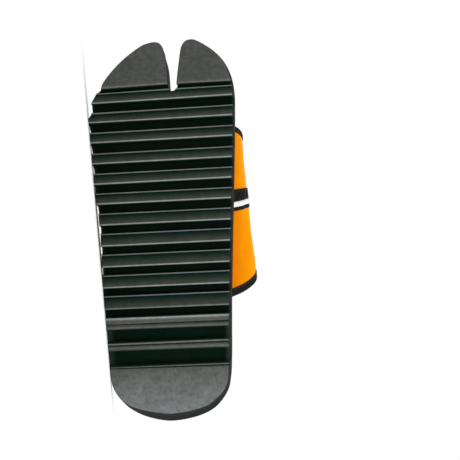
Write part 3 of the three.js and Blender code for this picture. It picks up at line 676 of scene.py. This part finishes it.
# ---- the sole ------------------------------------------------------------------------------------------------
def tuck_at(x, y, high):
    x = np.asarray(x, float)
    lean = 1 - np.where(x < 0, 0.16, 0.5) * np.clip(np.abs(x) / 30, 0, 1.2) ** 2
    return (TUCK + HEEL_TUCK * lean * (1 - soft(4, 37, y))) * np.clip(1 - high / FLANK, 0, 1) ** 1.3


def ruffle(x, y, high):
    """The lateral edge of the forefoot draws in a little at each groove."""
    side = soft(30, 42, x) * soft(150, 185, y) * (1 - soft(236, 244, y))
    return 0.5 * side * soft(3, 6.5, high)


def rims(x, y):
    return mix(rim_medial(y), rim_lateral(y), np.clip((x + 47) / 94, 0, 1))


def heel_painted_light(x, y):
    """The heel is painted lighter towards its end: painted light, where the light from the heel side falls."""
    return 0.082 + 0.07 * (1 - soft(8, 43, y))


UNDER = 1.7


def build_sole():
    rows = profile()
    # the round bottom of the split needs rows of its own
    vs = [r[0] for r in rows]
    for extra in (SPLIT_FROM + 0.03, SPLIT_FROM + 0.35):
        k = np.searchsorted(vs, extra)
        a, b = rows[k - 1], rows[k]
        t = (extra - a[0]) / (b[0] - a[0])
        rows.insert(k, (extra, mix(a[1], b[1], t), mix(a[2], b[2], t), LUG))
        vs.insert(k, extra)
    made = plan(rows, 16, 16)

    def foot(x, y, h, split):
        return mix(float(tuck_at(x, y, h)) + 0.55, 0.45, split)

    xy, cut, shade, edge = place(made, foot)
    z = tread(xy[:, 1]) + cut
    # pads are shaded by place: the heel pad is painted lighter towards its end, painted light that keeps it from
    # looking dead flat; the toe pads take one even tone
    kinds = np.zeros(made["count"], bool)
    for kind, data, h, sh, start, n in made["rows"]:
        if kind != "line":
            kinds[start:start + n] = True
    y = xy[:, 1]
    shade = np.where(kinds, np.where(y < 120, heel_painted_light(xy[:, 0], y), 0.0585), shade)
    bottom = np.column_stack([xy, z])
    points, shades, faces, which = [bottom], [shade], list(made["faces"]), list(made["regions"])

    ring = made["border"]
    e = np.array([edge[i][:5] for i in ring])
    h = cut[ring]
    ex, ey = e[:, 0], e[:, 1]
    split = e[:, 4]
    ground = tread(ey)
    rim = rims(ex, ey)
    floor = bed(ey)
    loops = []

    def loop(by, high, sh):
        loops.append((np.column_stack([ex - by * e[:, 2], ey - by * e[:, 3], high]), np.broadcast_to(sh, ex.shape)))

    def wall(high):
        tucked = tuck_at(ex, ey, high) + ruffle(ex, ey, h) * np.clip(1 - high / FLANK, 0, 1)
        return mix(tucked, UNDER * soft(0, FLANK, high), split)

    # painted light on the sidewall: lighter on the flank at the heel, where the light from the heel side falls, and
    # beside the lug lands, and darker up the flank; the first loop carries a thin painted highlight along the tread's
    # edge
    heel = 1 - soft(6, 40, ey)
    dark = mix(0.003, 0.021, heel)
    low = np.where(h < 1, 0.008, 0.003)
    loop(wall(h + 0.15) + 0.16, ground + h + 0.16, np.where(h < 2.7, 0.016, 0.004))
    loop(wall(h + 0.55), ground + h + 0.55, np.maximum(low, dark))
    for k in (0.25, 0.5, 0.75):
        hh = mix(h + 0.55, FLANK, k)
        loop(wall(hh), ground + hh, np.maximum(mix(low, 0.003, k), dark * (1 - k) ** 1.8))
    under = UNDER * split
    # painted shade low on the body, rising to a painted highlight along the rim's rounded top
    loop(under, ground + FLANK, 0.002)
    loop(under + 0.1, mix(ground + FLANK, rim - 5, 0.4), 0.0025)
    loop(under + 0.3, rim - 5, 0.004)
    loop(0.95 * under + 0.45, rim - 2.4, 0.006)
    loop(0.8 * under + 0.75, rim - 1.0, 0.008)
    loop(0.65 * under + 1.15, rim - 0.35, 0.011)
    loop(0.5 * under + 1.7, rim - 0.05, 0.013)
    loop(0.3 * under + 2.25, rim, 0.013)
    loop(2.8 - 0.05 * split, rim - 0.15, 0.011)
    loop(mix(RIM_WIDE, SPLIT_RIM, split), rim - 0.8, 0.008)
    start = made["count"]
    ids = [np.array(ring)]
    for pts, sh in loops:
        points.append(pts)
        shades.append(sh)
        ids.append(np.arange(start, start + len(ring)))
        start += len(ring)
    # the pocket's floor closes the body under the insole
    xy2, _, _, _ = place(made, lambda x, y, h, s: mix(RIM_WIDE, SPLIT_RIM, s))
    points.append(np.column_stack([xy2, bed(xy2[:, 1])]))
    shades.append(np.full(made["count"], 0.02))
    for f in made["faces"]:
        faces.append(tuple(start + i for i in reversed(f)))
        which.append(SIDEWALL)
    ids.append(start + np.array(ring))
    n = len(ring)
    for a, b in zip(ids, ids[1:]):
        for i in range(n):
            j = (i + 1) % n
            faces.append((a[j], a[i], b[i], b[j]))
            which.append(SIDEWALL)
    # every ring round the sole takes the sidewall's material
    obj = make("sole_body", np.vstack(points), faces, ["pad", "lug", "side"], which, 50,
               {"shade": np.sqrt(np.clip(np.concatenate(shades), 0, 0.3) / 0.3)}, ["sole"])
    return obj


sole = build_sole()


# ---- the insole ------------------------------------------------------------------------------------------------
def build_insole():
    vs = np.concatenate([np.arange(40.4, 236, 3.6), [238.0, SPLIT_FROM + 0.05, SPLIT_FROM + 0.6, 241, 243.4, 246]])
    made = plan([(v, 0.0, 0.0, PAD) for v in vs], 14, 14)

    def by(x, y, h, split):
        if x < 0:
            strap = soft(78, 84, y) * (1 - soft(218.5, 223, y))
        else:
            strap = soft(82, 88, y) * (1 - soft(181, 187, y))
        return mix(RIM_WIDE + 0.15 + 3.45 * float(strap), SPLIT_RIM + 0.15, split)

    xy, _, _, edge = place(made, by)
    x, y = xy[:, 0], xy[:, 1]
    ring = made["border"]
    on = {i for i in ring}
    # distance in from the border, for the crown
    loop_xy = xy[ring]
    d = np.min(np.hypot(x[:, None] - loop_xy[None, :, 0], y[:, None] - loop_xy[None, :, 1]), axis=1)
    edge_high = rims(x, y) - 0.7
    middle = bed(y) + 5.3
    lift = 1 - np.exp(-d / 7.0)
    top = mix(edge_high, middle, np.clip(lift, 0, 1) ** 1.1)
    # soft print of a foot: heel cup and ball
    for cx, cy, rx, ry, deep in ((-5, 36, 27, 30, 0.9), (-14, 205, 26, 26, 0.6), (24, 196, 22, 26, 0.45)):
        top -= deep * np.exp(-(((x - cx) / rx) ** 2 + ((y - cy) / ry) ** 2))
    # rolled edge
    roll = np.clip(1 - d / 2.2, 0, 1)
    top -= 1.1 * roll**2.2
    points = [np.column_stack([x, y, top])]
    faces = list(made["faces"])
    which = [0] * len(faces)
    start = made["count"]
    e = np.array([edge[i][:5] for i in ring])
    inset = np.array([by(a[0], a[1], 0, a[4]) for a in e])
    ids = [np.array(ring)]
    tr = top[ring]
    for out, share in ((0.12, 0.12), (0.12, 0.5), (0, 1.0)):
        high = mix(tr, bed(e[:, 1]) + 0.15, share)
        points.append(np.column_stack([e[:, 0] - (inset - out) * e[:, 2], e[:, 1] - (inset - out) * e[:, 3], high]))
        ids.append(np.arange(start, start + len(ring)))
        start += len(ring)
    points.append(np.column_stack([x, y, bed(y) + 0.1]))
    for f in made["faces"]:
        faces.append(tuple(start + i for i in reversed(f)))
        which.append(1)
    ids.append(start + np.array(ring))
    n = len(ring)
    for a, b in zip(ids, ids[1:]):
        for i in range(n):
            j = (i + 1) % n
            faces.append((a[i], a[j], b[j], b[i]))
            which.append(1)
    obj = make("insole_pad", np.vstack(points), faces, ["insole", "foam"], which, 45, None, ["insole"])
    return obj


insole = build_insole()


# ---- the strap's own surface ---------------------------------------------------------------------------------------
wide_medial, wide_lateral, wide_high, ridge = (column(INSTEP, k) for k in (1, 2, 3, 4))
_ys = np.arange(70, 236, 0.5)
_edges = []
for _y in _ys:
    _d = BORDER[:, 1] - _y
    _e = np.roll(_d, -1)
    _i = np.nonzero((_d > 0) != (_e > 0))[0]
    _x = [mix(BORDER[i, 0], BORDER[(i + 1) % len(BORDER), 0], _d[i] / (_d[i] - _e[i])) for i in _i]
    _edges.append((min(_x), max(_x)))
_edges = np.array(_edges)


def instep(r, y):
    r, y = np.broadcast_arrays(np.asarray(r, float), np.asarray(y, float))
    medial, lateral = np.interp(y, _ys, _edges[:, 0]), np.interp(y, _ys, _edges[:, 1])
    wide, wm, wl, b = wide_high(y), wide_medial(y), wide_lateral(y), bed(y) + 0.3
    root = RIM_WIDE + 0.3 + WALL

    def bez(a, c, d, e, t):
        u = 1 - t
        return u**3 * a + 3 * u**2 * t * c + 3 * u * t**2 * d + t**3 * e

    tm, tl = r / MEDIAL_RISE, (1 - r) / (1 - LATERAL_RISE)
    xm, zm = bez(medial + root, medial + root, wm, wm, tm), bez(b, rim_medial(y) + 3.5, wide - 13, wide, tm)
    xl, zl = bez(lateral - root, lateral - root, wl, wl, tl), bez(b, rim_lateral(y) + 3.5, wide - 13, wide, tl)
    turn = np.pi * np.clip((r - MEDIAL_RISE) / (LATERAL_RISE - MEDIAL_RISE), 0, 1)
    c, s = np.cos(turn), np.clip(np.sin(turn), 0, 1)
    reach = np.where(c > 0, RIDGE_X - wm, wl - RIDGE_X)
    xa = RIDGE_X - reach * np.sign(c) * np.abs(c) ** (2 / FULLNESS)
    za = wide + (ridge(y) - wide) * s ** (2 / FULLNESS)
    x = np.where(r < MEDIAL_RISE, xm, np.where(r > LATERAL_RISE, xl, xa))
    z = np.where(r < MEDIAL_RISE, zm, np.where(r > LATERAL_RISE, zl, za))
    return np.stack([x, y, z], -1)


def on_strap(r, y, out):
    e = 0.006
    u = instep(r + e, y) - instep(r - e, y)
    w = instep(r, np.asarray(y) + 0.5) - instep(r, np.asarray(y) - 0.5)
    n = np.cross(u, w)
    n /= np.linalg.norm(n, axis=-1)[..., None]
    return instep(r, y) + n * np.asarray(out)[..., None]


main_rear, main_front = column(MAIN_EDGES, 1), column(MAIN_EDGES, 2)
side_rear, side_front = column(LATERAL_EDGES, 1), column(LATERAL_EDGES, 2)
stripe = column(STRIPE, 1)


def main_inner(r):
    r = np.asarray(r, float)
    return LAP * soft(0.5, 0.59, r) + FLARE * (np.maximum(0, r - FLARE_FROM) / (FLAP_END - FLARE_FROM)) ** 1.6


def main_outer(r):
    return main_inner(r) + WALL


def corner(r):
    t = np.clip((np.asarray(r, float) - (FLAP_END - 0.03)) / 0.03, 0, 1)
    return 8 * (1 - np.sqrt(1 - 0.985 * t * t))


# Soft troughs over the strap: from (round, y) to (round, y), half width in mm, depth in mm.
CREASES = [
    (0.13, 118, 0.20, 176, 5.0, 0.55), (0.19, 112, 0.25, 150, 4.0, 0.4), (0.27, 176, 0.31, 206, 5.5, 0.45),
    (0.36, 122, 0.42, 150, 6.0, 0.35), (0.10, 186, 0.16, 208, 4.5, 0.45), (0.46, 178, 0.52, 200, 6.0, 0.3),
    (0.62, 120, 0.68, 148, 5.0, 0.35), (0.08, 150, 0.11, 172, 4.0, 0.3), (0.22, 186, 0.25, 203, 3.5, 0.3),
]


def creases(r, y):
    r, y = np.broadcast_arrays(np.asarray(r, float), np.asarray(y, float))
    out = np.zeros(r.shape)
    for r0, y0, r1, y1, wide, deep in CREASES:
        ax, ay, bx, by = r0 / PER_MM, y0, r1 / PER_MM, y1
        px, py = r / PER_MM, y
        dx, dy = bx - ax, by - ay
        t = np.clip(((px - ax) * dx + (py - ay) * dy) / (dx * dx + dy * dy), 0, 1)
        bend = 2.2 * np.sin(np.pi * t)
        n = math.hypot(dx, dy)
        d = np.hypot(px - (ax + dx * t - dy / n * bend), py - (ay + dy * t + dx / n * bend))
        out -= deep * np.exp(-((d / wide) ** 2) * 2) - 0.35 * deep * np.exp(-(((d - 1.6 * wide) / wide) ** 2) * 2)
    out += 0.16 * np.sin(px_wave(r, y)) * 0.6
    return out


def px_wave(r, y):
    return r * 41 + y * 0.09 + 1.3 * np.sin(y * 0.05 + r * 9)


def strap_sheet(name, rounds, rear, front, across, inner, outer, fall, mats, replaces=()):
    """A closed sheet with rounded edges, its outer face and its lining."""
    s = np.linspace(0, 1, across + 1)
    rings = []
    for r in rounds:
        a, b = float(rear(r)), float(front(r))
        y = mix(a, b, s)
        edge = np.minimum(y - a, b - y)
        thin = 0.55 * np.clip(1 - edge / 1.6, 0, 1) ** 2
        fold = fall(r, y) * np.clip(edge / 8, 0, 1)
        o = outer(r) - thin + fold
        i = inner(r) + thin + fold * 0.6
        top = on_strap(np.full_like(y, r), y, o)
        under = on_strap(np.full_like(y, r), y, i)
        rings.append(np.vstack([top, under[::-1]]))
    n = len(rings[0])
    faces, which = [], []
    for k in range(len(rings) - 1):
        for i in range(n):
            j = (i + 1) % n
            faces.append((k * n + i, k * n + j, (k + 1) * n + j, (k + 1) * n + i))
            which.append(0 if i < across else 1)
    for base, turn in ((0, 1), ((len(rings) - 1) * n, -1)):
        for i in range(across):
            q = [base + i, base + i + 1, base + n - 2 - i, base + n - 1 - i]
            faces.append(tuple(q[::turn]))
            which.append(1)
    # painted shade: the low rounds, where the strap goes down to the sole, carry the leather's painted shade
    shade = np.repeat(soft(0.04, 0.25, np.asarray(rounds, float)), n)
    return make(name, np.vstack(rings), faces, mats, which, 60, {"shade": shade}, replaces)


main_rounds = np.concatenate([np.linspace(0.0, 0.745, 150), np.linspace(0.75, 0.7795, 22), [0.78]])
strap_main = strap_sheet(
    "strap_main", main_rounds, lambda r: main_rear(r) + corner(r), lambda r: main_front(r) - corner(r), 60,
    main_inner, main_outer, creases, ["leather", "lining"], ["upper"])


def side_outer(r):
    return np.minimum(WALL, np.where(np.asarray(r) < 0.75, main_inner(r) - 0.02, WALL))


strap_side = strap_sheet(
    "strap_side", np.linspace(0.63, 1.0, 70), side_rear, side_front, 40,
    lambda r: 0.0 * np.asarray(r), side_outer, lambda r, y: 0.0 * y, ["leather", "lining"])


# ---- bindings: cloth folded over an edge ----------------------------------------------------------------------------
def resample(path, step):
    p = np.asarray(path, float)
    q = np.column_stack([p[:, 0] / PER_MM, p[:, 1]])
    s = np.concatenate([[0], np.cumsum(np.linalg.norm(np.diff(q, axis=0), axis=1))])
    n = max(2, int(s[-1] / step))
    t = np.linspace(0, s[-1], n + 1)
    q = np.column_stack([np.interp(t, s, q[:, k]) for k in (0, 1)])
    return q, t


def inward(q, sign):
    t = np.gradient(q, axis=0)
    t /= np.linalg.norm(t, axis=1)[:, None]
    return sign * np.column_stack([-t[:, 1], t[:, 0]])


def spot(q, n, s, face, off, inner, outer):
    s = np.asarray(s)[..., None] if np.ndim(s) else s
    s = np.ravel(s)
    r = (q[:, 0] + s * n[:, 0]) * PER_MM
    y = q[:, 1] + s * n[:, 1]
    i, o = inner(r), outer(r)
    out = o + off if face > 0 else i - off if face < 0 else (i + o) / 2
    return on_strap(r, y, out)


BAND = 5.8
# Cross-section of a binding: share of its width, mm beyond that, face, height over the strap.
SECTION = [
    (1, 0, 1, 0.03), (1, -0.05, 1, 0.5), (1, -0.45, 1, 0.72), (1, -1.1, 1, 0.56), (1, -1.7, 1, 0.74),
    (0.5, 0, 1, 0.88), (0.25, 0, 1, 0.9), (0, 0.3, 1, 0.78), (0, -0.35, 1, 0.4), (0, -0.75, 1, -0.35),
    (0, -0.9, 0, 0), (0, -0.75, -1, -0.35), (0, -0.35, -1, 0.4), (0, 0.3, -1, 0.78), (0.25, 0, -1, 0.9),
    (0.5, 0, -1, 0.88), (1, -1.7, -1, 0.74), (1, -1.1, -1, 0.56), (1, -0.45, -1, 0.72), (1, -0.05, -1, 0.5),
    (1, 0, -1, 0.03), (0.4, 0, -1, 0.01), (0, 0.1, -1, 0.01), (0, 0.05, 0, 0), (0, 0.1, 1, 0.01), (0.4, 0, 1, 0.01),
]


def sweep(name, q, n, t, section, inner, outer, mats, replaces=(), band=None):
    band = np.full(len(q), BAND) if band is None else band
    cols = [spot(q, n, share * band + more, face, off, inner, outer) for share, more, face, off in section]
    rings = np.stack(cols, 1)
    m = len(section)
    faces = []
    for k in range(len(q) - 1):
        for i in range(m):
            j = (i + 1) % m
            faces.append((k * m + i, k * m + j, (k + 1) * m + j, (k + 1) * m + i))
    faces.append(tuple(range(m)))
    faces.append(tuple(range((len(q) - 1) * m + m - 1, (len(q) - 1) * m - 1, -1)))
    flat = [(a * BAND + more, face * 1.5 + off) for a, more, face, off in section]
    wrap = np.cumsum([0] + [math.dist(a, b) for a, b in zip(flat, flat[1:])])
    attrs = {"warp": np.repeat(t, m) / 1000, "weft": np.tile(wrap, len(q)) / 1000}
    return make(name, rings.reshape(-1, 3), faces, mats, None, 50, attrs, replaces)


def stitches(name, q, t, n, s, off, inner, outer, pitch=3.6, long=2.5, thick=0.42, face=1, mat="thread"):
    """A row of sewn stitches, each a short thread that dives into the cloth at both ends."""
    r = (q[:, 0] + s * n[:, 0]) * PER_MM
    y = q[:, 1] + s * n[:, 1]
    base = on_strap(r, y, (outer(r) + off) if face > 0 else (inner(r) - off))
    top = on_strap(r, y, (outer(r) + off + 1) if face > 0 else (inner(r) - off - 1))
    up = top - base
    d = np.concatenate([[0], np.cumsum(np.linalg.norm(np.diff(base, axis=0), axis=1))])
    points, faces = [], []
    k = 0
    at = pitch
    while at + long < d[-1] - 1:
        ts = at + long * np.array([0, 0.1, 0.3, 0.5, 0.7, 0.9, 1])
        c = np.stack([np.interp(ts, d, base[:, a]) for a in range(3)], 1)
        u = np.stack([np.interp(ts, d, up[:, a]) for a in range(3)], 1)
        lift = np.array([-0.42, -0.12, 0.08, 0.12, 0.08, -0.12, -0.42])
        size = np.array([0.35, 0.8, 1, 1, 1, 0.8, 0.35]) * thick
        c = c + u * lift[:, None]
        along_ = c[-1] - c[0]
        along_ /= np.linalg.norm(along_)
        for p, w, z in zip(c, u, size):
            side = np.cross(along_, w)
            side /= np.linalg.norm(side)
            for a in np.arange(6) * math.pi / 3:
                points.append(p + side * math.cos(a) * z + w * math.sin(a) * z * 0.8)
        for a in range(6):
            for b in range(6):
                c0 = k + a * 6 + b
                c1 = k + a * 6 + (b + 1) % 6
                faces.append((c0, c1, c1 + 6, c0 + 6))
        faces.append(tuple(range(k + 5, k - 1, -1)))
        faces.append(tuple(range(k + 36, k + 42)))
        k += 42
        at += pitch
    return make(name, np.array(points), faces, [mat], None, 60)


def smooth_path(q, times=3):
    for _ in range(times):
        q[1:-1] = 0.25 * q[:-2] + 0.5 * q[1:-1] + 0.25 * q[2:]
    return q


rs = np.concatenate([np.linspace(0.05, 0.745, 200), np.linspace(0.746, 0.78, 60)])
rear_path = np.column_stack([rs, main_rear(rs) + corner(rs)])
front_path = np.column_stack([rs, main_front(rs) - corner(rs)])[::-1]
round_path = np.vstack([rear_path, front_path])
q, t = resample(round_path, 1.5)
q = smooth_path(q, 4)
n = inward(q, 1)
band = mix(BAND, 3.9, soft(0.56, 0.66, np.arange(len(q)) / len(q)))
trim_main = sweep("trim_main", q, n, t, SECTION, main_inner, main_outer, ["binding"],
                  ["binding_front", "binding_rear", "binding_flap"], band)
stitches("trim_main_stitches", q, t, n, band - 1.1, 0.52, main_inner, main_outer)

zero = lambda r: 0.0 * np.asarray(r, float)
wall = lambda r: WALL + 0.0 * np.asarray(r, float)
rs = np.linspace(0.72, 0.92, 80)
q, t = resample(np.column_stack([rs, side_rear(rs)]), 1.5)
n = inward(q, 1)
sweep("trim_side_rear", q, n, t, SECTION, zero, wall, ["binding"], ["binding_lateral_rear"])
stitches("trim_side_rear_stitches", q[12:], t[12:], n[12:], BAND - 1.1, 0.52, zero, wall)
rs = np.linspace(0.755, 0.92, 80)
q, t = resample(np.column_stack([rs, side_front(rs)]), 1.5)
n = inward(q, -1)
sweep("trim_side_front", q, n, t, SECTION, zero, wall, ["binding"], ["binding_lateral_front"])
stitches("trim_side_front_stitches", q[8:], t[8:], n[8:], BAND - 1.1, 0.52, zero, wall)


# ---- the stripe ---------------------------------------------------------------------------------------------------
def tape(name, rear, front, section, mat, replaces):
    rs = np.linspace(0.05, 0.738, 150)
    m = len(section)
    rings = []
    for r in rs:
        more = 1.2 * (1 - float(soft(0.06, 0.24, r)))
        a, b = float(stripe(r)) + rear, float(stripe(r)) + front + (more if front > 5 else 0)
        s = np.array([x[0] for x in section])
        o = np.array([x[1] for x in section])
        y = mix(a, b, s)
        fold = creases(np.full_like(y, r), y)
        rings.append(on_strap(np.full_like(y, r), y, main_outer(r) + o + fold))
    rings = np.array(rings)
    faces = []
    for k in range(len(rs) - 1):
        for i in range(m):
            j = (i + 1) % m
            faces.append((k * m + i, k * m + j, (k + 1) * m + j, (k + 1) * m + i))
    faces.append(tuple(range(m)))
    faces.append(tuple(range((len(rs) - 1) * m + m - 1, (len(rs) - 1) * m - 1, -1)))
    girth = np.concatenate([[0], np.cumsum(np.linalg.norm(np.diff(rings[:, 0], axis=0), axis=1))])
    wide = np.array([x[0] for x in section]) * (front - rear)
    attrs = {"warp": np.repeat(girth, m) / 1000, "weft": np.tile(wide, len(rs)) / 1000}
    return make(name, rings.reshape(-1, 3), faces, [mat], None, 55, attrs, replaces)


FLAT = [(0, -0.05), (0.0, 0.5), (0.03, 0.66), (0.1, 0.72)] + [(x, 0.74) for x in np.linspace(0.2, 0.8, 7)] + [
    (0.9, 0.72), (0.97, 0.66), (1, 0.5), (1, -0.05)]
ROUND = [(0.5 - 0.5 * math.cos(a), 1.35 * math.sin(a) ** 0.8 - 0.05) for a in np.linspace(0, math.pi, 13)]
tape("stripe_wide", -1.9, 6.3, FLAT, "tape", ["stripe_front"])
tape("stripe_white", -6.1, -1.9, ROUND, "piping", ["stripe_piping"])
tape("stripe_thin", -9.0, -6.1, FLAT, "tape", ["stripe_rear"])
rs = np.linspace(0.085, 0.73, 200)
q, t = resample(np.column_stack([rs, stripe(rs)]), 1.5)
n = inward(q, 1)
for nm, s in (("stripe_seam_front", 5.4), ("stripe_seam_middle", -0.9)):
    stitches(nm, q, t, n, s, 0.68, main_inner, main_outer, thick=0.3)


# ---- hook and loop -----------------------------------------------------------------------------------------------
def patch(name, r0, r1, rear, front, low, high, mat, seed, pile):
    """A sewn patch, its face rough with a fine pile."""
    rng = np.random.default_rng(seed)
    rs, ss = np.linspace(r0, r1, 26), np.linspace(0, 1, 90)
    rings = []
    for i, r in enumerate(rs):
        a, b = float(rear(r)), float(front(r))
        y = mix(a, b, ss)
        edge = np.minimum(np.minimum(ss, 1 - ss) * 12, min(i, len(rs) - 1 - i) / 3.0)
        o = high(r) + pile * rng.uniform(-1, 1, len(y)) * np.clip(edge, 0, 1) - 0.25 * (1 - np.clip(edge, 0, 1))
        rings.append(np.vstack([on_strap(np.full_like(y, r), y, o), on_strap(np.full_like(y, r), y, low(r) + 0 * y)[::-1]]))
    n = len(rings[0])
    faces = []
    for k in range(len(rings) - 1):
        for i in range(n):
            j = (i + 1) % n
            faces.append((k * n + i, k * n + j, (k + 1) * n + j, (k + 1) * n + i))
    faces.append(tuple(range(n)))
    faces.append(tuple(range((len(rings) - 1) * n + n - 1, (len(rings) - 1) * n - 1, -1)))
    return make(name, np.vstack(rings), faces, [mat], None, 80)


patch("loop_patch", 0.742, 0.806, lambda r: side_rear(r) + 9, lambda r: side_front(r) - 9,
      lambda r: WALL - 0.05, lambda r: WALL + 0.55, "loop", 5, 0.12)
patch("hook_patch", 0.744, 0.7575, lambda r: main_rear(r) + 9, lambda r: side_front(r) - 9,
      lambda r: main_inner(r) + 0.05, lambda r: main_inner(r) - 0.45, "hook", 7, 0.1)


# ---- floor, light, camera ------------------------------------------------------------------------------------------
def floor():
    mesh = bpy.data.meshes.new("floor")
    b = bmesh.new()
    bmesh.ops.create_grid(b, x_segments=24, y_segments=24, size=6)
    b.to_mesh(mesh)
    b.free()
    obj = bpy.data.objects.new("floor", mesh)
    bpy.context.scene.collection.objects.link(obj)
    m, nodes, links, shader = material("floor_paint", Roughness=0.9, Specular_IOR_Level=0.1)
    tint = ramp(nodes, links, noise(nodes, links, coords(nodes), 3, 2), [(0.3, (0.975, 0.975, 0.975)), (0.7, (0.985, 0.985, 0.985))])
    links.new(tint, shader.inputs["Base Color"])
    mesh.materials.append(m)


floor()

scene = bpy.context.scene
world = bpy.data.worlds.new("studio")
world.use_nodes = True
world.node_tree.nodes["Background"].inputs[0].default_value = (1, 1, 1, 1)
world.node_tree.nodes["Background"].inputs[1].default_value = 1.0
scene.world = world
scene.view_settings.view_transform = "Standard"


def area(name, at, to, size, power, colour=(1, 1, 1)):
    data = bpy.data.lights.new(name, "AREA")
    data.shape = "RECTANGLE"
    data.size, data.size_y = size
    data.energy = power
    data.color = colour
    obj = bpy.data.objects.new(name, data)
    scene.collection.objects.link(obj)
    obj.location = at
    obj.rotation_mode = "QUATERNION"
    obj.rotation_quaternion = (Vector(to) - Vector(at)).to_track_quat("-Z", "Y")


area("key", (0.9, -0.55, 0.75), (0, 0, 0.05), (1.5, 1.5), 10.3)
area("fill", (-0.5, -0.9, 0.9), (0, 0, 0.05), (0.8, 0.8), 2)

target = Vector(row([[-7, 138.8, 0]])[0])
DISTANCE, EYE = 0.4, 0.007
tilt = math.asin((target.z - EYE) / DISTANCE)
eye = target + DISTANCE * Vector((0, -math.cos(tilt), -math.sin(tilt)))
# the view is squared to the tread, which leaves the shoe to the left of the middle
aside = target + 0.040 * Vector(TURN @ np.array([-1, 0, 0]))
d = (aside - eye).normalized()
toe = Vector(TURN @ np.array([0, 1, 0]))
up = (toe - d * toe.dot(d)).normalized()
right = d.cross(up)
cam_data = bpy.data.cameras.new("camera")
cam = bpy.data.objects.new("camera", cam_data)
scene.collection.objects.link(cam)
cam.matrix_world = Matrix((
    (right.x, up.x, -d.x, eye.x), (right.y, up.y, -d.y, eye.y), (right.z, up.z, -d.z, eye.z), (0, 0, 0, 1)))
cam_data.sensor_width = 36
cam_data.lens = 36 * DISTANCE * 1000 / (276 / 0.84)
cam_data.clip_start, cam_data.clip_end = 0.01, 100
scene.camera = cam
